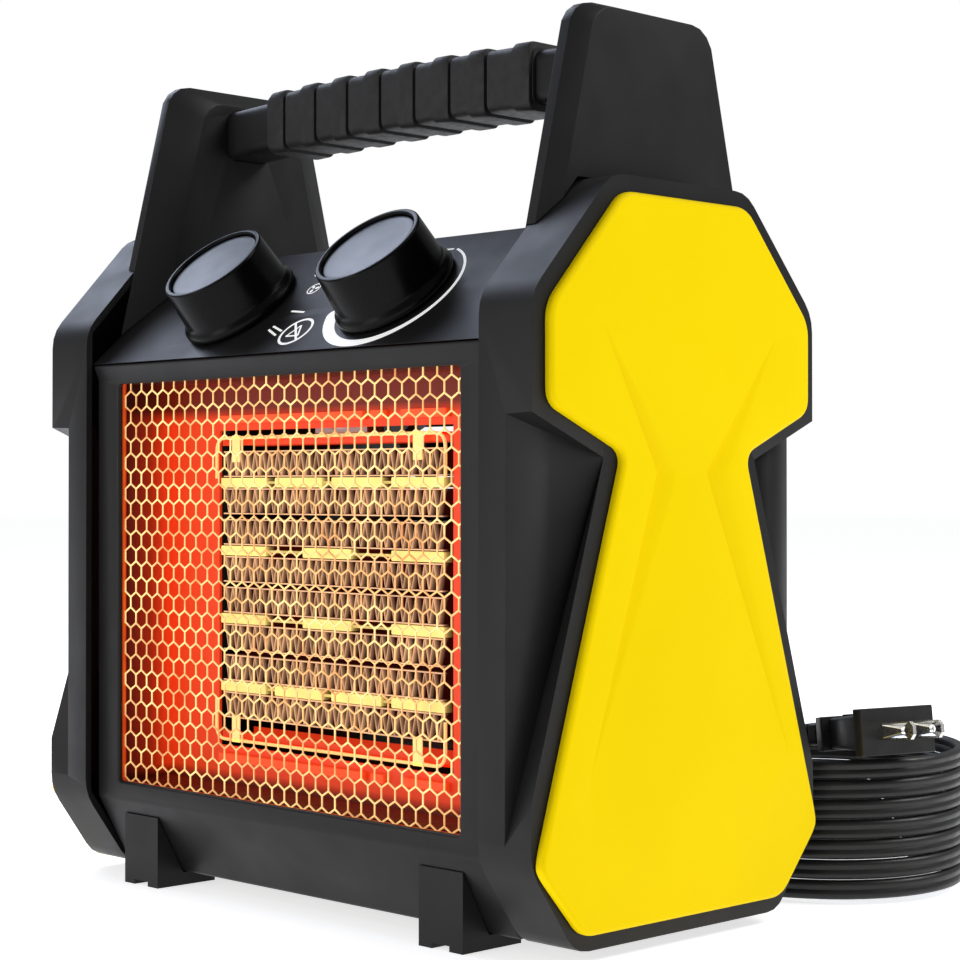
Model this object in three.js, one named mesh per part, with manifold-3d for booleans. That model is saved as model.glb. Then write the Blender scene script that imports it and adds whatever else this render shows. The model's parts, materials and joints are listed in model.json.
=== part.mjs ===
// Portable ceramic (PTC) fan heater with a carry handle, two dial knobs and a hex outlet mesh.
// Millimetres, +Z up. The hot air leaves towards -Y, and +X is to the right of a viewer who faces the outlet.
// The origin is on the floor, below the centre of the casing.
import * as THREE from "three";
import { mergeVertices } from "three/addons/utils/BufferGeometryUtils.js";
import { ConvexGeometry } from "three/addons/geometries/ConvexGeometry.js";
import Module from "manifold-3d";

const wasm = await Module();
wasm.setup();

// ---------------------------------------------------------------- driving dimensions
const GAP = 0.3; // running and fitting gap between neighbouring pieces
const WALL = 2.6; // moulded wall

const CORE = { halfWidth: 105.3, front: -65, rear: 66, bottom: 5, shoulder: 31.5, toe: 50.5 };
const PANEL = { y: -67.3, z: 194.3, lean: THREE.MathUtils.degToRad(48.55), length: 60.8, thick: 3 };
const ROOF = { z: PANEL.z + PANEL.length * Math.cos(PANEL.lean), rearY: 30, eavesZ: 200 };
const SHELL = { inner: 105.6, outer: 128.5, foldX: 117.3 };
const SIDE_PANEL = { inner: SHELL.outer + GAP, outer: 131.8 };
const OPENING = { halfWidth: 91.8, low: 38.2, high: 186.6 };
const ELEMENT = { halfWidth: 61, front: -41.5, rear: -23.5, top: 167, bottom: 54, middle: 112, pitch: 25.1 };
const TOWER = { y: 3, baseZ: 245, baseHalf: 49, taper: 0.22, top: 305, corner: 11, bottom: 196 };
const HANDLE = { y: 2, z: 286.5, rise: 2.6, depth: 21, height: 18.6, end: 107.5, gripHalf: 71, ribs: 8 };
const KNOB = { x: 41.8, up: 28.7, foot: 22.7, top: 19.9, height: 21, shaft: 3 };
const FOOT = { inner: 70.5, outer: 91, front: 62.5, rear: 36, notch: 8 };
const INTAKE = { halfWidth: 78, low: 44, high: 180 };
const FAN = { y: 8, z: 112, radius: 62, hub: 17, blades: 7, shaft: 2 };
const TIP = { x: -30, y: 30, radius: 4 };
const GLAND = { x: -88, z: 42, length: 29.4 };
const CORD = { width: 7, thick: 3.7 };
const COIL = { x: 97, y: 128, radius: 44.5, height: 54.4 };
const PLUG = { x: 132.3, y: 100.9, heading: -14.6, tilt: 7, back: 45, thick: 13, spacing: 12.7 };

// ---------------------------------------------------------------- colours
const finish = {
  black: { color: 0x2c2c2e, roughness: 0.5, metalness: 0 },
  softBlack: { color: 0x232325, roughness: 0.75, metalness: 0 },
  yellow: { color: 0xf0d000, roughness: 0.4, metalness: 0 },
  cap: { color: 0x3a3e46, roughness: 0.4, metalness: 0 },
  wire: { color: 0xd8c48a, roughness: 0.35, metalness: 1 },
  steel: { color: 0xb8babd, roughness: 0.35, metalness: 1 },
  aluminium: { color: 0xc9cacb, roughness: 0.4, metalness: 1 },
  duct: { color: 0xb84a2a, roughness: 0.5, metalness: 1 },
  ceramic: { color: 0xe8dcc0, roughness: 0.7, metalness: 0 },
  heatproof: { color: 0xd9d3c4, roughness: 0.6, metalness: 0 },
  brass: { color: 0xcaa24a, roughness: 0.3, metalness: 1 },
  fan: { color: 0x55585c, roughness: 0.5, metalness: 0 },
  cord: { color: 0x1c1c1d, roughness: 0.55, metalness: 0 },
};

// ---------------------------------------------------------------- helpers
const heater = new THREE.Group();
const AXIS_X = new THREE.Vector3(1, 0, 0);
const AXIS_Y = new THREE.Vector3(0, 1, 0);
const AXIS_Z = new THREE.Vector3(0, 0, 1);

function add(name, geometry, look) {
  const mesh = new THREE.Mesh(geometry, new THREE.MeshStandardMaterial(finish[look]));
  mesh.name = name;
  heater.add(mesh);
  return mesh;
}

function solid(geometry) {
  const bare = geometry.clone();
  bare.deleteAttribute("normal");
  bare.deleteAttribute("uv");
  const merged = mergeVertices(bare, 1e-4);
  const vertProperties = new Float32Array(merged.attributes.position.array);
  const triVerts = new Uint32Array(merged.index.array);
  return new wasm.Manifold(new wasm.Mesh({ numProp: 3, vertProperties, triVerts }));
}

function surface(body) {
  const mesh = body.getMesh();
  const geometry = new THREE.BufferGeometry();
  const positions = new Float32Array(mesh.numVert * 3);
  for (let i = 0; i < mesh.numVert; i += 1) {
    for (let k = 0; k < 3; k += 1) {
      positions[3 * i + k] = mesh.vertProperties[i * mesh.numProp + k];
    }
  }
  geometry.setAttribute("position", new THREE.BufferAttribute(positions, 3));
  geometry.setIndex(new THREE.BufferAttribute(new Uint32Array(mesh.triVerts), 1));
  return geometry;
}

const cut = (body, ...tools) => tools.reduce((left, tool) => left.subtract(tool), body);
const join = (body, ...others) => others.reduce((left, other) => left.add(other), body);

function mirrored(half) {
  const other = half.map(([u, v]) => [-u, v]).reverse();
  return [...half, ...other];
}

// Moves every edge of a closed outline outwards by d (inwards where d is negative).
function offset(points, d) {
  const area = points.reduce((sum, [x, y], i) => {
    const [nx, ny] = points[(i + 1) % points.length];
    return sum + x * ny - nx * y;
  }, 0);
  const turn = Math.sign(area);
  return points.map((point, i) => {
    const before = points[(i + points.length - 1) % points.length];
    const after = points[(i + 1) % points.length];
    const a = new THREE.Vector2(point[0] - before[0], point[1] - before[1]).normalize();
    const b = new THREE.Vector2(after[0] - point[0], after[1] - point[1]).normalize();
    const normalA = new THREE.Vector2(a.y * turn, -a.x * turn);
    const normalB = new THREE.Vector2(b.y * turn, -b.x * turn);
    const middle = normalA.clone().add(normalB).normalize();
    const reach = d / middle.dot(normalA);
    return [point[0] + middle.x * reach, point[1] + middle.y * reach];
  });
}

function outline(points, radius = 0) {
  const shape = new THREE.Shape();
  if (radius === 0) {
    shape.setFromPoints(points.map(([u, v]) => new THREE.Vector2(u, v)));
    return shape;
  }
  points.forEach((point, i) => {
    const corner = new THREE.Vector2(...point);
    const before = new THREE.Vector2(...points[(i + points.length - 1) % points.length]);
    const after = new THREE.Vector2(...points[(i + 1) % points.length]);
    const back = Math.min(radius, corner.distanceTo(before) * 0.45);
    const on = Math.min(radius, corner.distanceTo(after) * 0.45);
    const start = corner.clone().lerp(before, back / corner.distanceTo(before));
    const end = corner.clone().lerp(after, on / corner.distanceTo(after));
    if (i === 0) shape.moveTo(start.x, start.y);
    else shape.lineTo(start.x, start.y);
    shape.quadraticCurveTo(corner.x, corner.y, end.x, end.y);
  });
  shape.closePath();
  return shape;
}

function extrude(shape, depth, curveSegments = 3) {
  return new THREE.ExtrudeGeometry(shape, { depth, bevelEnabled: false, curveSegments });
}

// A shape drawn in (y, z), swept from x0 to x1.
function prismX(shape, x0, x1) {
  const geometry = extrude(shape, x1 - x0);
  geometry.applyMatrix4(new THREE.Matrix4().makeBasis(AXIS_Y, AXIS_Z, AXIS_X));
  return geometry.translate(x0, 0, 0);
}

// A shape drawn in (x, z), swept from y0 to y1.
function prismY(shape, y0, y1) {
  const geometry = extrude(shape, y1 - y0);
  const back = new THREE.Vector3(0, -1, 0);
  geometry.applyMatrix4(new THREE.Matrix4().makeBasis(AXIS_X, AXIS_Z, back));
  return geometry.translate(0, y1, 0);
}

function prismZ(shape, z0, z1) {
  return extrude(shape, z1 - z0).translate(0, 0, z0);
}

function block(x0, x1, y0, y1, z0, z1) {
  const geometry = new THREE.BoxGeometry(x1 - x0, y1 - y0, z1 - z0);
  return geometry.translate((x0 + x1) / 2, (y0 + y1) / 2, (z0 + z1) / 2);
}

const rectangle = (u0, u1, v0, v1) => [[u0, v0], [u1, v0], [u1, v1], [u0, v1]];

// A turned piece along `axis` from `origin`; the profile is [radius, distance along the axis].
function turned(profile, origin, axis, segments = 28) {
  const points = profile.map(([r, h]) => new THREE.Vector2(r, h));
  const geometry = new THREE.LatheGeometry(points, segments);
  const spin = new THREE.Quaternion().setFromUnitVectors(AXIS_Y, axis.clone().normalize());
  geometry.applyQuaternion(spin);
  return geometry.translate(origin.x, origin.y, origin.z);
}

const rod = (radius, from, to, origin, axis, segments = 14) =>
  turned([[0, from], [radius, from], [radius, to], [0, to]], origin, axis, segments);

const ring = (inner, outer, from, to, origin, axis, segments = 28) =>
  turned([[inner, from], [outer, from], [outer, to], [inner, to], [inner, from]], origin, axis, segments);

const mirrorX = (geometry) => surface(solid(geometry).mirror([1, 0, 0]));

// ---------------------------------------------------------------- casing
const casingFront = [
  [-CORE.toe, CORE.bottom],
  [CORE.front, CORE.shoulder],
  [CORE.front, PANEL.z - 6],
  [PANEL.y, PANEL.z],
];
const panelTop = [
  PANEL.y + PANEL.length * Math.sin(PANEL.lean),
  PANEL.z + PANEL.length * Math.cos(PANEL.lean),
];
const casingRear = [
  [ROOF.rearY, ROOF.z],
  [CORE.rear, ROOF.eavesZ],
  [CORE.rear, CORE.shoulder],
  [CORE.toe, CORE.bottom],
];
const casingOutline = [...casingFront, panelTop, ...casingRear];
const panelNormal = new THREE.Vector3(0, -Math.cos(PANEL.lean), Math.sin(PANEL.lean));
const panelUp = new THREE.Vector3(0, Math.sin(PANEL.lean), Math.cos(PANEL.lean));

function onPanel(x, up) {
  return new THREE.Vector3(x, PANEL.y, PANEL.z).addScaledVector(panelUp, up);
}

function frontBezel() {
  const inner = casingFront.map(([y, z]) => [y + 12, z]);
  inner[0] = [-CORE.toe + 6, CORE.bottom];
  inner[1] = [CORE.front + 12, CORE.shoulder];
  inner[3] = [PANEL.y + 4, PANEL.z - GAP];
  inner[2] = [CORE.front + 12, PANEL.z - 10];
  const face = casingFront.slice();
  face[3] = [PANEL.y, PANEL.z - GAP];
  const body = solid(prismX(outline([...face, ...inner.reverse()]), -CORE.halfWidth, CORE.halfWidth));
  const mouth = rectangle(-OPENING.halfWidth, OPENING.halfWidth, OPENING.low, OPENING.high);
  const rebate = offset(mouth, 3);
  return surface(cut(
    body,
    solid(prismY(outline(mouth), CORE.front - 10, CORE.front + 30)),
    solid(prismY(outline(rebate), CORE.front + 2.4, CORE.front + 30)),
  ));
}

function controlPanel() {
  const band = [
    [PANEL.y, PANEL.z],
    panelTop,
    [panelTop[0], panelTop[1] - PANEL.thick / Math.sin(PANEL.lean)],
    [PANEL.y + PANEL.thick / Math.cos(PANEL.lean), PANEL.z],
  ];
  let body = solid(prismX(outline(band), -CORE.halfWidth, CORE.halfWidth));
  for (const side of [-1, 1]) {
    const hole = rod(KNOB.shaft + 1.2, -8, 8, onPanel(side * KNOB.x, KNOB.up), panelNormal);
    body = body.subtract(solid(hole));
  }
  return surface(body);
}

function rearCover() {
  const start = [panelTop[0] + GAP, ROOF.z];
  const outer = [start, ...casingRear];
  const inner = [
    [start[0], ROOF.z - WALL],
    [ROOF.rearY - 1, ROOF.z - WALL],
    [CORE.rear - WALL, ROOF.eavesZ - 1],
    [CORE.rear - WALL, CORE.shoulder + 1],
    [CORE.toe - WALL, CORE.bottom],
  ];
  const skin = prismX(outline([...outer, ...inner.reverse()]), -CORE.halfWidth, CORE.halfWidth);
  const intake = rectangle(-INTAKE.halfWidth, INTAKE.halfWidth, INTAKE.low, INTAKE.high);
  const exit = new THREE.Vector3(GLAND.x, CORE.rear, GLAND.z);
  return surface(cut(
    solid(skin),
    solid(prismY(outline(intake, 6), CORE.rear - 10, CORE.rear + 5)),
    solid(rod(6 + GAP, -8, 8, exit, AXIS_Y)),
  ));
}

function rearGrille() {
  const w = INTAKE.halfWidth - GAP;
  const [y0, y1] = [CORE.rear - WALL - 0.4, CORE.rear - 0.4];
  let plate = solid(prismY(outline(rectangle(-w, w, INTAKE.low + GAP, INTAKE.high - GAP), 6), y0, y1));
  const slots = 13;
  const step = (INTAKE.high - INTAKE.low - 12) / slots;
  for (let row = 0; row < slots; row += 1) {
    const low = INTAKE.low + 6 + row * step + 1.6;
    for (const [from, to] of [[-w + 6, -w / 3 - 2], [-w / 3 + 2, w / 3 - 2], [w / 3 + 2, w - 6]]) {
      plate = plate.subtract(solid(block(from, to, y0 - 1, y1 + 1, low, low + step - 3.2)));
    }
  }
  return surface(plate);
}

function basePan() {
  const y = CORE.toe - 6 - GAP - 0.4;
  const plate = outline(rectangle(-CORE.halfWidth, CORE.halfWidth, -y, y), 3);
  const hole = rod(TIP.radius + 0.6, -5, 20, new THREE.Vector3(TIP.x, TIP.y, 0), AXIS_Z, 16);
  return surface(cut(solid(prismZ(plate, CORE.bottom, CORE.bottom + 2.4)), solid(hole)));
}

function foot(side, end) {
  const [y0, y1] = end < 0 ? [-FOOT.front, -FOOT.rear] : [FOOT.rear, FOOT.front];
  const middle = (FOOT.inner + FOOT.outer) / 2;
  const notch = block(middle - FOOT.notch / 2, middle + FOOT.notch / 2, y0 - 1, y1 + 1, -1, 1.8);
  const casing = prismX(outline(offset(casingOutline, GAP)), 0, 120);
  const body = cut(solid(block(FOOT.inner, FOOT.outer, y0, y1, 0, 26)), solid(casing), solid(notch));
  return side < 0 ? mirrorX(surface(body)) : surface(body);
}

// ---------------------------------------------------------------- side shells and yellow panels
const shellOutline = mirrored([[33.6, 246.7], [69.8, 207.2], [70.2, 32.3], [50.5, 4.1]]);
const shellFace = mirrored([
  [33.6, 246.7], [69.8, 207.2], [69.8, 170.8], [37.6, 157.2], [70.2, 51.5], [70.2, 32.3], [50.5, 4.1],
]);
const sidePanelFace = mirrored([
  [30.7, 241.2], [64.3, 204.1], [64.3, 173.4], [30.2, 158.6], [68.6, 34.5], [68.2, 30.5], [49.4, 9.2],
]);

// The wedge taken out of a shell's edge, which gives the outer face its waist.
function waistFacet(side) {
  const edge = 75 * side;
  const points = [
    [SHELL.foldX, 70.2 * side, 170.6],
    [SHELL.foldX, 70.2 * side, 38],
    [SHELL.outer, 70.2 * side, 51.5],
    [SHELL.outer, 37.6 * side, 157.2],
    [SHELL.outer, 69.8 * side, 170.8],
    [SHELL.foldX, edge, 170.6],
    [SHELL.foldX, edge, 38],
    [SHELL.outer, edge, 51.5],
    [SHELL.outer, edge, 170.8],
  ];
  return solid(new ConvexGeometry(points.map((p) => new THREE.Vector3(...p))));
}

function sideShell() {
  const hollow = outline(offset(shellOutline, -WALL));
  const deepHollow = outline(offset(shellFace, -4));
  return surface(cut(
    solid(prismX(outline(shellOutline, 6), SHELL.inner, SHELL.outer)),
    waistFacet(1),
    waistFacet(-1),
    solid(prismX(hollow, SHELL.inner - 1, SHELL.foldX - WALL)),
    solid(prismX(deepHollow, SHELL.inner, SHELL.outer - WALL)),
  ));
}

function sidePanel() {
  return prismX(outline(sidePanelFace, 5), SIDE_PANEL.inner, SIDE_PANEL.outer);
}

// ---------------------------------------------------------------- towers and handle
function towerRing(x, inset, topInset) {
  const half = (z) => TOWER.baseHalf - TOWER.taper * (z - TOWER.baseZ) - inset;
  const top = TOWER.top - topInset;
  const r = TOWER.corner;
  const points = [];
  for (const side of [-1, 1]) {
    points.push([x, TOWER.y + side * half(TOWER.bottom), TOWER.bottom]);
    for (let k = 0; k <= 4; k += 1) {
      const angle = (k / 4) * (Math.PI / 2);
      const y = half(top) - r + r * Math.cos(angle);
      points.push([x, TOWER.y + side * y, top - r + r * Math.sin(angle)]);
    }
  }
  return points.map((p) => new THREE.Vector3(...p));
}

function towerBlank() {
  return solid(new ConvexGeometry([
    ...towerRing(98, 13, 6),
    ...towerRing(105, 0, 0),
    ...towerRing(109, 0, 0),
    ...towerRing(114, 5.5, 1.5),
  ]));
}

function tower() {
  const shellBlank = prismX(outline(offset(shellOutline, GAP)), SHELL.inner - GAP, 140);
  const casing = prismX(outline(offset(casingOutline, GAP)), 0, SHELL.inner - GAP);
  const above = block(90, 120, -80, 80, 226, 320);
  const within = prismX(outline(shellOutline), 90, 120);
  const socket = handleBar(GAP);
  const body = cut(towerBlank(), solid(shellBlank), solid(casing));
  const pocket = solid(block(106.5, 111.2, TOWER.y - 26, TOWER.y + 26, 240, 272));
  return surface(cut(body.intersect(join(solid(above), solid(within))), pocket, socket));
}

// A bar of rounded rectangular section along the handle's arch.
function archedBar(width, height, from, to, steps) {
  const z = (x) => HANDLE.z + HANDLE.rise * (1 - (x / HANDLE.end) ** 2);
  const section = outline(rectangle(-width / 2, width / 2, -height / 2, height / 2), 4.5);
  const geometry = new THREE.ExtrudeGeometry(section, {
    depth: to - from, steps, bevelEnabled: false, curveSegments: 2,
  });
  geometry.applyMatrix4(new THREE.Matrix4().makeBasis(AXIS_Y, AXIS_Z, AXIS_X));
  const position = geometry.attributes.position;
  for (let i = 0; i < position.count; i += 1) {
    const x = position.getX(i) + from;
    position.setXYZ(i, x, position.getY(i) + HANDLE.y, position.getZ(i) + z(x));
  }
  return solid(geometry);
}

const handleBar = (grow) =>
  archedBar(HANDLE.depth + 2 * grow, HANDLE.height + 2 * grow, -HANDLE.end - grow, HANDLE.end + grow, 6);

function handleGrip() {
  const pitch = (2 * HANDLE.gripHalf) / HANDLE.ribs;
  let body = archedBar(HANDLE.depth + 3.4, HANDLE.height + 3.4, -HANDLE.gripHalf, HANDLE.gripHalf, 6);
  for (let rib = 0; rib < HANDLE.ribs; rib += 1) {
    const from = -HANDLE.gripHalf + rib * pitch + 0.9;
    body = body.add(archedBar(HANDLE.depth + 5.6, HANDLE.height + 5.6, from, from + pitch - 1.8, 1));
  }
  return surface(body.subtract(handleBar(GAP)));
}

// ---------------------------------------------------------------- outlet mesh, duct and heating element
function outletMesh() {
  const w = OPENING.halfWidth + 2.6;
  const low = OPENING.low - 2.6;
  const high = OPENING.high + 2.6;
  const [y0, y1] = [CORE.front + 2.7, CORE.front + 3.9];
  let sheet = solid(block(-w, w, y0, y1, low, high));
  const columns = 8;
  const pitch = (2 * OPENING.halfWidth) / columns;
  const radius = pitch / Math.sqrt(3) - 0.9;
  const rowPitch = pitch * Math.sin(Math.PI / 3);
  const rows = Math.floor((high - low - 4) / rowPitch);
  const start = (low + high - (rows - 1) * rowPitch) / 2;
  for (let row = 0; row < rows; row += 1) {
    const shift = row % 2 === 0 ? 0 : pitch / 2;
    const count = row % 2 === 0 ? columns : columns - 1;
    for (let column = 0; column < count; column += 1) {
      const centre = [-OPENING.halfWidth + pitch / 2 + shift + column * pitch, start + row * rowPitch];
      const hexagon = [];
      for (let k = 0; k < 6; k += 1) {
        const angle = Math.PI / 6 + (k * Math.PI) / 3;
        hexagon.push([centre[0] + radius * Math.cos(angle), centre[1] + radius * Math.sin(angle)]);
      }
      sheet = sheet.subtract(solid(prismY(outline(hexagon), y0 - 1, y1 + 1)));
    }
  }
  return surface(sheet);
}

function outletDuct() {
  const frontY = CORE.front + 4.3;
  const backY = ELEMENT.front + 3;
  const mouth = rectangle(-OPENING.halfWidth, OPENING.halfWidth, OPENING.low, OPENING.high);
  const gate = rectangle(
    -ELEMENT.halfWidth - 2, ELEMENT.halfWidth + 2, ELEMENT.bottom - 2, ELEMENT.top + 2,
  );
  const box = solid(prismY(outline(offset(mouth, 1.4)), frontY, backY));
  const hollow = solid(prismY(outline(mouth), frontY - 1, backY - 1.2));
  const window = solid(prismY(outline(gate), frontY, backY + 1));
  return surface(cut(box, hollow, window));
}

const plateHalf = 2.1;
const finHeight = ELEMENT.pitch / 2 - plateHalf - 0.9;
const rowZ = (row) => ELEMENT.middle + (1.5 - row) * ELEMENT.pitch;

// One insulated electrode strip with its ceramic plates standing a little proud of it.
function plateRow(row) {
  const z = rowZ(row);
  const y0 = ELEMENT.front + 1;
  const y1 = ELEMENT.rear - 1;
  const plates = row === 0 || row === 3 ? 4 : 3;
  const half = ELEMENT.halfWidth - 1;
  let body = solid(block(-half, half, y0, y1, z - 1, z + 1));
  const length = 26;
  for (let k = 0; k < plates; k += 1) {
    const x = -half + (k * (2 * half - length)) / (plates - 1);
    const stone = block(x, x + length, y0 - 0.8, y1 + 0.8, z - plateHalf + GAP, z + plateHalf - GAP);
    body = body.add(solid(stone));
  }
  return surface(body);
}

// A folded aluminium fin strip, a zig-zag ribbon between two thin flat bands.
function finStrip(low) {
  const high = low + finHeight;
  const folds = 15;
  const half = ELEMENT.halfWidth - 2;
  const bands = [low + 0.35, high - 0.35];
  const sheet = 0.5;
  const upper = [];
  const lower = [];
  for (let k = 0; k <= folds; k += 1) {
    const x = -half + (2 * half * k) / folds;
    const z = bands[k % 2];
    upper.push([x, z + sheet / 2]);
    lower.push([x, z - sheet / 2]);
  }
  const ribbon = solid(prismY(outline([...upper, ...lower.reverse()]), ELEMENT.front + 1, ELEMENT.rear - 1));
  const band = (z) => solid(block(-half, half, ELEMENT.front + 0.6, ELEMENT.rear - 0.6, z - 0.3, z + 0.3));
  return surface(join(ribbon, band(low + 0.3), band(high - 0.3)));
}

// The heat-proof rail that grips the element's top or bottom edge, with two clips.
function elementRail(sign) {
  const z = sign > 0 ? ELEMENT.top - 4 : ELEMENT.bottom;
  const half = ELEMENT.halfWidth + 1;
  let body = solid(block(-half, half, ELEMENT.front, ELEMENT.rear, z, z + 4));
  for (const x of [-50, 50]) {
    const low = sign > 0 ? z - 6 : z;
    body = body.add(solid(block(x - 2.5, x + 2.5, ELEMENT.front - 1.6, ELEMENT.front + 0.4, low, low + 10)));
  }
  return surface(body);
}

function thermalCutoff() {
  const at = new THREE.Vector3(0, ELEMENT.rear - 7, ELEMENT.top + GAP + 1.2);
  const can = solid(rod(6, 0, 9, at, AXIS_Z, 20));
  const flange = solid(block(-14, 14, at.y - 4, at.y + 4, at.z - 1.2, at.z + 0.8));
  return surface(join(can, flange));
}

// ---------------------------------------------------------------- fan
const fanCentre = new THREE.Vector3(0, FAN.y, FAN.z);

function fanShroud() {
  const tube = solid(ring(FAN.radius + 2.4, FAN.radius + 5, -8, 22, fanCentre, AXIS_Y, 36));
  const wall = prismY(outline(rectangle(-104.6, 104.6, 8, 231), 6), FAN.y - 10, FAN.y - 7.6);
  const throat = rod(FAN.radius + 2.4, -20, 60, fanCentre, AXIS_Y, 36);
  return surface(cut(join(solid(wall), tube), solid(throat)));
}

function fanRotor() {
  const hub = turned([[0, -4], [10, -4], [FAN.hub, 1], [FAN.hub, 16], [0, 16]], fanCentre, AXIS_Y);
  let body = solid(hub);
  const bladeShape = outline([
    [-4, FAN.hub - 2], [6, FAN.hub - 2], [22, FAN.radius - 8], [14, FAN.radius], [-14, FAN.radius - 6],
  ], 4);
  for (let k = 0; k < FAN.blades; k += 1) {
    const blade = extrude(bladeShape, 1.8).translate(0, 0, -0.9);
    blade.rotateY(THREE.MathUtils.degToRad(24));
    blade.rotateX(Math.PI / 2);
    blade.rotateY((k / FAN.blades) * Math.PI * 2);
    blade.translate(0, FAN.y + 6, FAN.z);
    body = body.add(solid(blade));
  }
  body = body.add(solid(rod(FAN.shaft, 15, 24, fanCentre, AXIS_Y)));
  return surface(body);
}

function fanMotor() {
  const can = [[0, 20], [8, 20], [8, 23], [21, 23], [21, 45], [10, 45], [10, 47], [0, 47]];
  const bore = rod(FAN.shaft + 0.4, 18, 26, fanCentre, AXIS_Y);
  return surface(cut(solid(turned(can, fanCentre, AXIS_Y)), solid(bore)));
}

function motorBracket() {
  const y0 = FAN.y + 22.3;
  const arms = [];
  for (let k = 0; k < 3; k += 1) {
    const arm = block(-5, 5, y0, y0 + 2.5, 23, FAN.radius + 5);
    arm.rotateY((k / 3) * Math.PI * 2);
    arms.push(solid(arm.translate(0, 0, FAN.z)));
  }
  const collar = ring(21 + GAP, 25, 22.3, 28, fanCentre, AXIS_Y, 28);
  return surface(join(solid(collar), ...arms));
}

// ---------------------------------------------------------------- controls
function knob(side) {
  const seat = onPanel(side * KNOB.x, KNOB.up);
  const { foot: wide, top, height } = KNOB;
  const profile = [
    [0, 6], [4.2, 6], [4.2, 1.2], [wide - 2, 0.6], [wide, 0.6], [wide, 2.6], [top + 1, 6.4],
    [top, height - 0.8], [top - 0.8, height], [top - 2, height], [top - 2, height - 2.6], [0, height - 2.6],
  ];
  const body = solid(turned(profile, seat, panelNormal, 36));
  return surface(body.subtract(solid(rod(KNOB.shaft + 0.05, -2, 14, seat, panelNormal))));
}

function knobCap(side) {
  const seat = onPanel(side * KNOB.x, KNOB.up);
  const radius = KNOB.top - 2 - GAP;
  const level = KNOB.height;
  return rod(radius, level - 2.6 + GAP, level - 1.1, seat, panelNormal, 36);
}

function controlShaft(side) {
  const seat = onPanel(side * KNOB.x, KNOB.up);
  return rod(KNOB.shaft, -12, 13.7, seat, panelNormal);
}

// The rotary switch or thermostat behind the control panel, bored for its shaft.
function controlBody(side, radius, depth) {
  const seat = onPanel(side * KNOB.x, KNOB.up);
  const bush = rod(7, -PANEL.thick - 1.5, -PANEL.thick - GAP, seat, panelNormal);
  const can = rod(radius, -PANEL.thick - 1.5 - depth, -PANEL.thick - 1.4, seat, panelNormal, 20);
  const bore = rod(KNOB.shaft + 0.3, -12.5, 2, seat, panelNormal);
  return surface(cut(join(solid(can), solid(bush)), solid(bore)));
}

// ---------------------------------------------------------------- tip-over switch and wiring
function tipOverSwitch() {
  const z = CORE.bottom + 2.4 + GAP;
  const body = solid(block(TIP.x - 10, TIP.x + 10, TIP.y - 8, TIP.y + 8, z, z + 22));
  const at = new THREE.Vector3(TIP.x, TIP.y, 0);
  return surface(body.subtract(solid(rod(TIP.radius + 0.6, 0, z + 16, at, AXIS_Z))));
}

function tipOverPlunger() {
  const at = new THREE.Vector3(TIP.x, TIP.y, 0);
  return turned([[0, 0.3], [3, 0.3], [TIP.radius, 1.3], [TIP.radius, 19], [0, 19]], at, AXIS_Z, 16);
}

function terminalBlock() {
  const body = solid(block(40, 70, 32, 44, 12, 24));
  let result = body;
  for (let k = 0; k < 3; k += 1) {
    const at = new THREE.Vector3(45 + k * 10, 38, 0);
    result = result.subtract(solid(rod(2.6, 17, 26, at, AXIS_Z, 16)));
  }
  return surface(result);
}

function screw(x, y, z, axis) {
  const head = [[0, 0.1], [3.4, 0.1], [3.4, 1.2], [2.2, 2.2], [0, 2.2]];
  return turned(head, new THREE.Vector3(x, y, z), axis, 12);
}

// ---------------------------------------------------------------- mains lead
function cordGland() {
  const at = new THREE.Vector3(GLAND.x, CORE.rear, GLAND.z);
  const end = GLAND.length;
  const profile = [
    [0, -6], [8, -6], [8, -3.2], [6, -3.2], [6, 0.4], [9, 0.4], [9, 3], [6.2, 4], [4.4, end], [0, end],
  ];
  return turned(profile, at, AXIS_Y, 16);
}

// Where the cord lies, as far as it isn't coiled: from the gland to the coil, and from the coil to the plug.
const leadRoute = [
  [-88, 95.7, 42], [-88, 100.5, 41.9], [-86.5, 112.1, 40], [-82, 123, 35.6], [-74.8, 132.3, 29.2],
  [-65.5, 139.5, 22], [-54.6, 144, 14.8], [-43, 145.5, 8.6], [-31.4, 144, 4.4], [-20.5, 139.5, 2.4],
  [-7.5, 132, 2], [5.5, 124.5, 2], [18.5, 117, 2.1], [31.5, 109.5, 2.4], [44.5, 102, 2.9],
  [57.4, 94.5, 3.4], [67.2, 88.9, 3.6],
];
const tailRoute = [
  [64.7, 151.6, 50.4], [63.3, 144.6, 50.2], [63.6, 136.8, 50.2], [66, 129.3, 50.5], [70.2, 122.7, 51.4],
  [75.9, 117.4, 53], [81.9, 114.2, 55], [85.6, 113, 56.1], [88.7, 112.2, 56.7],
];

function cordTube(points, steps) {
  const sides = 8;
  const section = [];
  for (let k = 0; k < sides; k += 1) {
    const angle = ((k + 0.5) / sides) * Math.PI * 2;
    section.push([(CORD.thick / 2) * Math.cos(angle), (CORD.thick / 2) * Math.sin(angle)]);
  }
  const path = new THREE.CatmullRomCurve3(points.map((p) => new THREE.Vector3(...p)), false, "centripetal");
  return new THREE.ExtrudeGeometry(outline(section), { steps, extrudePath: path, bevelEnabled: false });
}

function cordCoil() {
  const at = new THREE.Vector3(COIL.x, COIL.y, 0);
  const half = CORD.thick / 2 + 0.25;
  return ring(COIL.radius - half, COIL.radius + half, 0, COIL.height, at, AXIS_Z, 36);
}

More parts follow.
